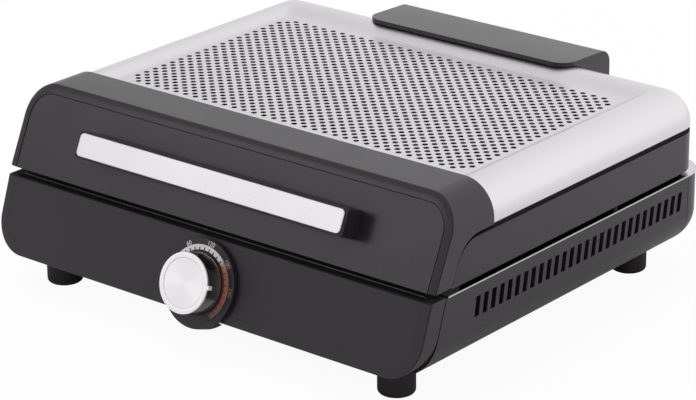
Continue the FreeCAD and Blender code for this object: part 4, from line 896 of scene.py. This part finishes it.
def makePointer():
    p = pointer
    middle = Vector(((p["start"] + p["end"]) / 2, 0, knob["discFront"] - p["under"]))
    build = boxBuild(Vector((p["end"] - p["start"], 2 * p["half"], p["thick"])), middle)
    for vert in build.verts:
        if vert.co.x > middle.x * mm:
            vert.co.y *= p["tipShare"]
    roundEdges(build, p["round"])
    build.transform(dialMatrix @ Matrix.Rotation(math.radians(p["turn"]), 4, "Z"))
    carry(pieceFrom(build, "knobPointer", spunDisc, p["sharpAbove"]), "knob", slotLike="knob_cap")


makeKnob()
makePointer()

# Bright plate on the front of the handle bar
handlePlate = {"edge": 0.55}
softEdged("handle_plate", "handlePlate", plateAluminium, handlePlate["edge"])
print("dial, knob and handle made")

# Floor, light and camera: lengths in m
studio = {"floorHalf": 6.0, "floorColour": "#fbfbfb", "floorWhite": 0.94, "nearFloor": 0.4, "farFloor": 0.62,
          "ambient": 0.72, "mirroredFront": 0.53, "mirroredRear": 1.26, "brightSide": (0.6, 0.78, 0.15)}
lamps = {  # name: (width and height in m, power in W, place, aim, seen in gloss)
    "topSoftbox": ((1.7, 1.7), 8.0, (-0.35, -0.35, 1.7), (0, 0, 0.1), False),
    "frontSoftbox": ((0.9, 0.7), 2.3, (-1.07, -1.48, 0.9), (0, -0.15, 0.12), True),
    "rearSoftbox": ((3.4, 1.2), 3.8, (0.38, 1.6, 0.85), (0.15, 0, 0.14), False),
}


def rayShares(tree):
    # 1 for rays from the camera or through clear stuff, and 1 for mirrored rays
    seen = addNode(tree, "ShaderNodeLightPath").outputs
    white = addNode(tree, "ShaderNodeMath", {
        0: seen["Is Camera Ray"], 1: seen["Is Transmission Ray"]}, operation="MAXIMUM").outputs[0]
    return white, seen["Is Glossy Ray"]


def makeFloor():
    s = studio
    half = s["floorHalf"]
    corners = [(-half, -half, 0), (half, -half, 0), (half, half, 0), (-half, half, 0)]
    mesh = bpy.data.meshes.new("floor")
    mesh.from_pydata(corners, [], [(0, 1, 2, 3)])
    finish, tree, place = newFinish("paleFloor", Roughness=0.9, Base_Color=linear(s["floorColour"]))
    shader = tree.nodes["Principled BSDF"].outputs[0]
    lit = addNode(tree, "ShaderNodeEmission", {"Color": (1, 1, 1, 1), "Strength": 1.0}).outputs[0]
    white, mirrored = rayShares(tree)
    bright = addNode(tree, "ShaderNodeMath", {0: white, 1: s["floorWhite"]}, operation="MULTIPLY").outputs[0]
    reach = addNode(tree, "ShaderNodeVectorMath", {0: place}, operation="LENGTH").outputs["Value"]
    far = addNode(tree, "ShaderNodeMapRange", {
        "Value": reach, "From Min": s["nearFloor"], "From Max": s["farFloor"]}).outputs["Result"]
    # in gloss, only the open floor is white
    far = addNode(tree, "ShaderNodeMath", {0: far, 1: mirrored}, operation="MULTIPLY").outputs[0]
    part = addNode(tree, "ShaderNodeMath", {0: bright, 1: far}, operation="MAXIMUM").outputs[0]
    both = addNode(tree, "ShaderNodeMixShader", {0: part, 1: shader, 2: lit}).outputs[0]
    tree.links.new(both, tree.nodes["Material Output"].inputs["Surface"])
    meshPiece("floor", mesh, finish)


def makeLight(name, size, power, place, aim, inGloss):
    lamp = bpy.data.lights.new(name, "AREA")
    lamp.shape = "RECTANGLE"
    lamp.size, lamp.size_y = size
    lamp.energy = power
    holder = bpy.data.objects.new(name, lamp)
    bpy.context.scene.collection.objects.link(holder)
    holder.location = place
    holder.rotation_euler = (Vector(aim) - Vector(place)).to_track_quat("-Z", "Y").to_euler()
    holder.visible_glossy = inGloss


# White to the eye, soft to dull surfaces, and in gloss graded from a dim front to a bright rear right
def makeWorld():
    s = studio
    world = bpy.data.worlds.new("studio")
    bpy.context.scene.world = world
    world.use_nodes = True
    tree = world.node_tree
    back = tree.nodes["Background"]
    back.inputs["Color"].default_value = (1, 1, 1, 1)
    white, mirrored = rayShares(tree)
    way = addNode(tree, "ShaderNodeTexCoord").outputs["Generated"]
    depth = addNode(tree, "ShaderNodeVectorMath", {
        0: way, 1: s["brightSide"]}, operation="DOT_PRODUCT").outputs["Value"]
    gloss = addNode(tree, "ShaderNodeMapRange", {
        "Value": depth, "From Min": -1.0, "To Min": s["mirroredFront"],
        "To Max": s["mirroredRear"]}).outputs["Result"]
    soft = addNode(tree, "ShaderNodeMapRange", {
        "Value": mirrored, "To Min": s["ambient"], "To Max": gloss}).outputs["Result"]
    level = addNode(tree, "ShaderNodeMapRange", {"Value": white, "To Min": soft, "To Max": 1.0})
    tree.links.new(level.outputs["Result"], back.inputs["Strength"])


makeFloor()
makeWorld()
for name, values in lamps.items():
    makeLight(name, *values)

view = {"azimuth": 39.685, "elevation": 21.299, "roll": -0.541, "focalPixels": 2921.2, "pictureWidth": 696,
        "sensor": 36.0, "clipEnd": 50, "place": (1.2907, -1.55765, 0.8471)}


def makeCamera():
    v = view
    camera = bpy.data.cameras.new("camera")
    camera.sensor_width = v["sensor"]
    camera.lens = v["focalPixels"] * v["sensor"] / v["pictureWidth"]
    camera.clip_end = v["clipEnd"]
    holder = bpy.data.objects.new("camera", camera)
    bpy.context.scene.collection.objects.link(holder)
    azimuth, elevation, roll = (math.radians(v[name]) for name in ("azimuth", "elevation", "roll"))
    back = Vector((math.sin(azimuth) * math.cos(elevation), -math.cos(azimuth) * math.cos(elevation),
                   math.sin(elevation)))
    right = Vector((math.cos(azimuth), math.sin(azimuth), 0))
    up = back.cross(right)
    turnedRight = right * math.cos(roll) + up * math.sin(roll)
    turnedUp = up * math.cos(roll) - right * math.sin(roll)
    axes = Matrix((turnedRight, turnedUp, back)).transposed().to_4x4()
    holder.matrix_world = Matrix.Translation(v["place"]) @ axes
    bpy.context.scene.camera = holder


makeCamera()
bpy.context.scene.view_settings.view_transform = "Standard"
print("scene ready")
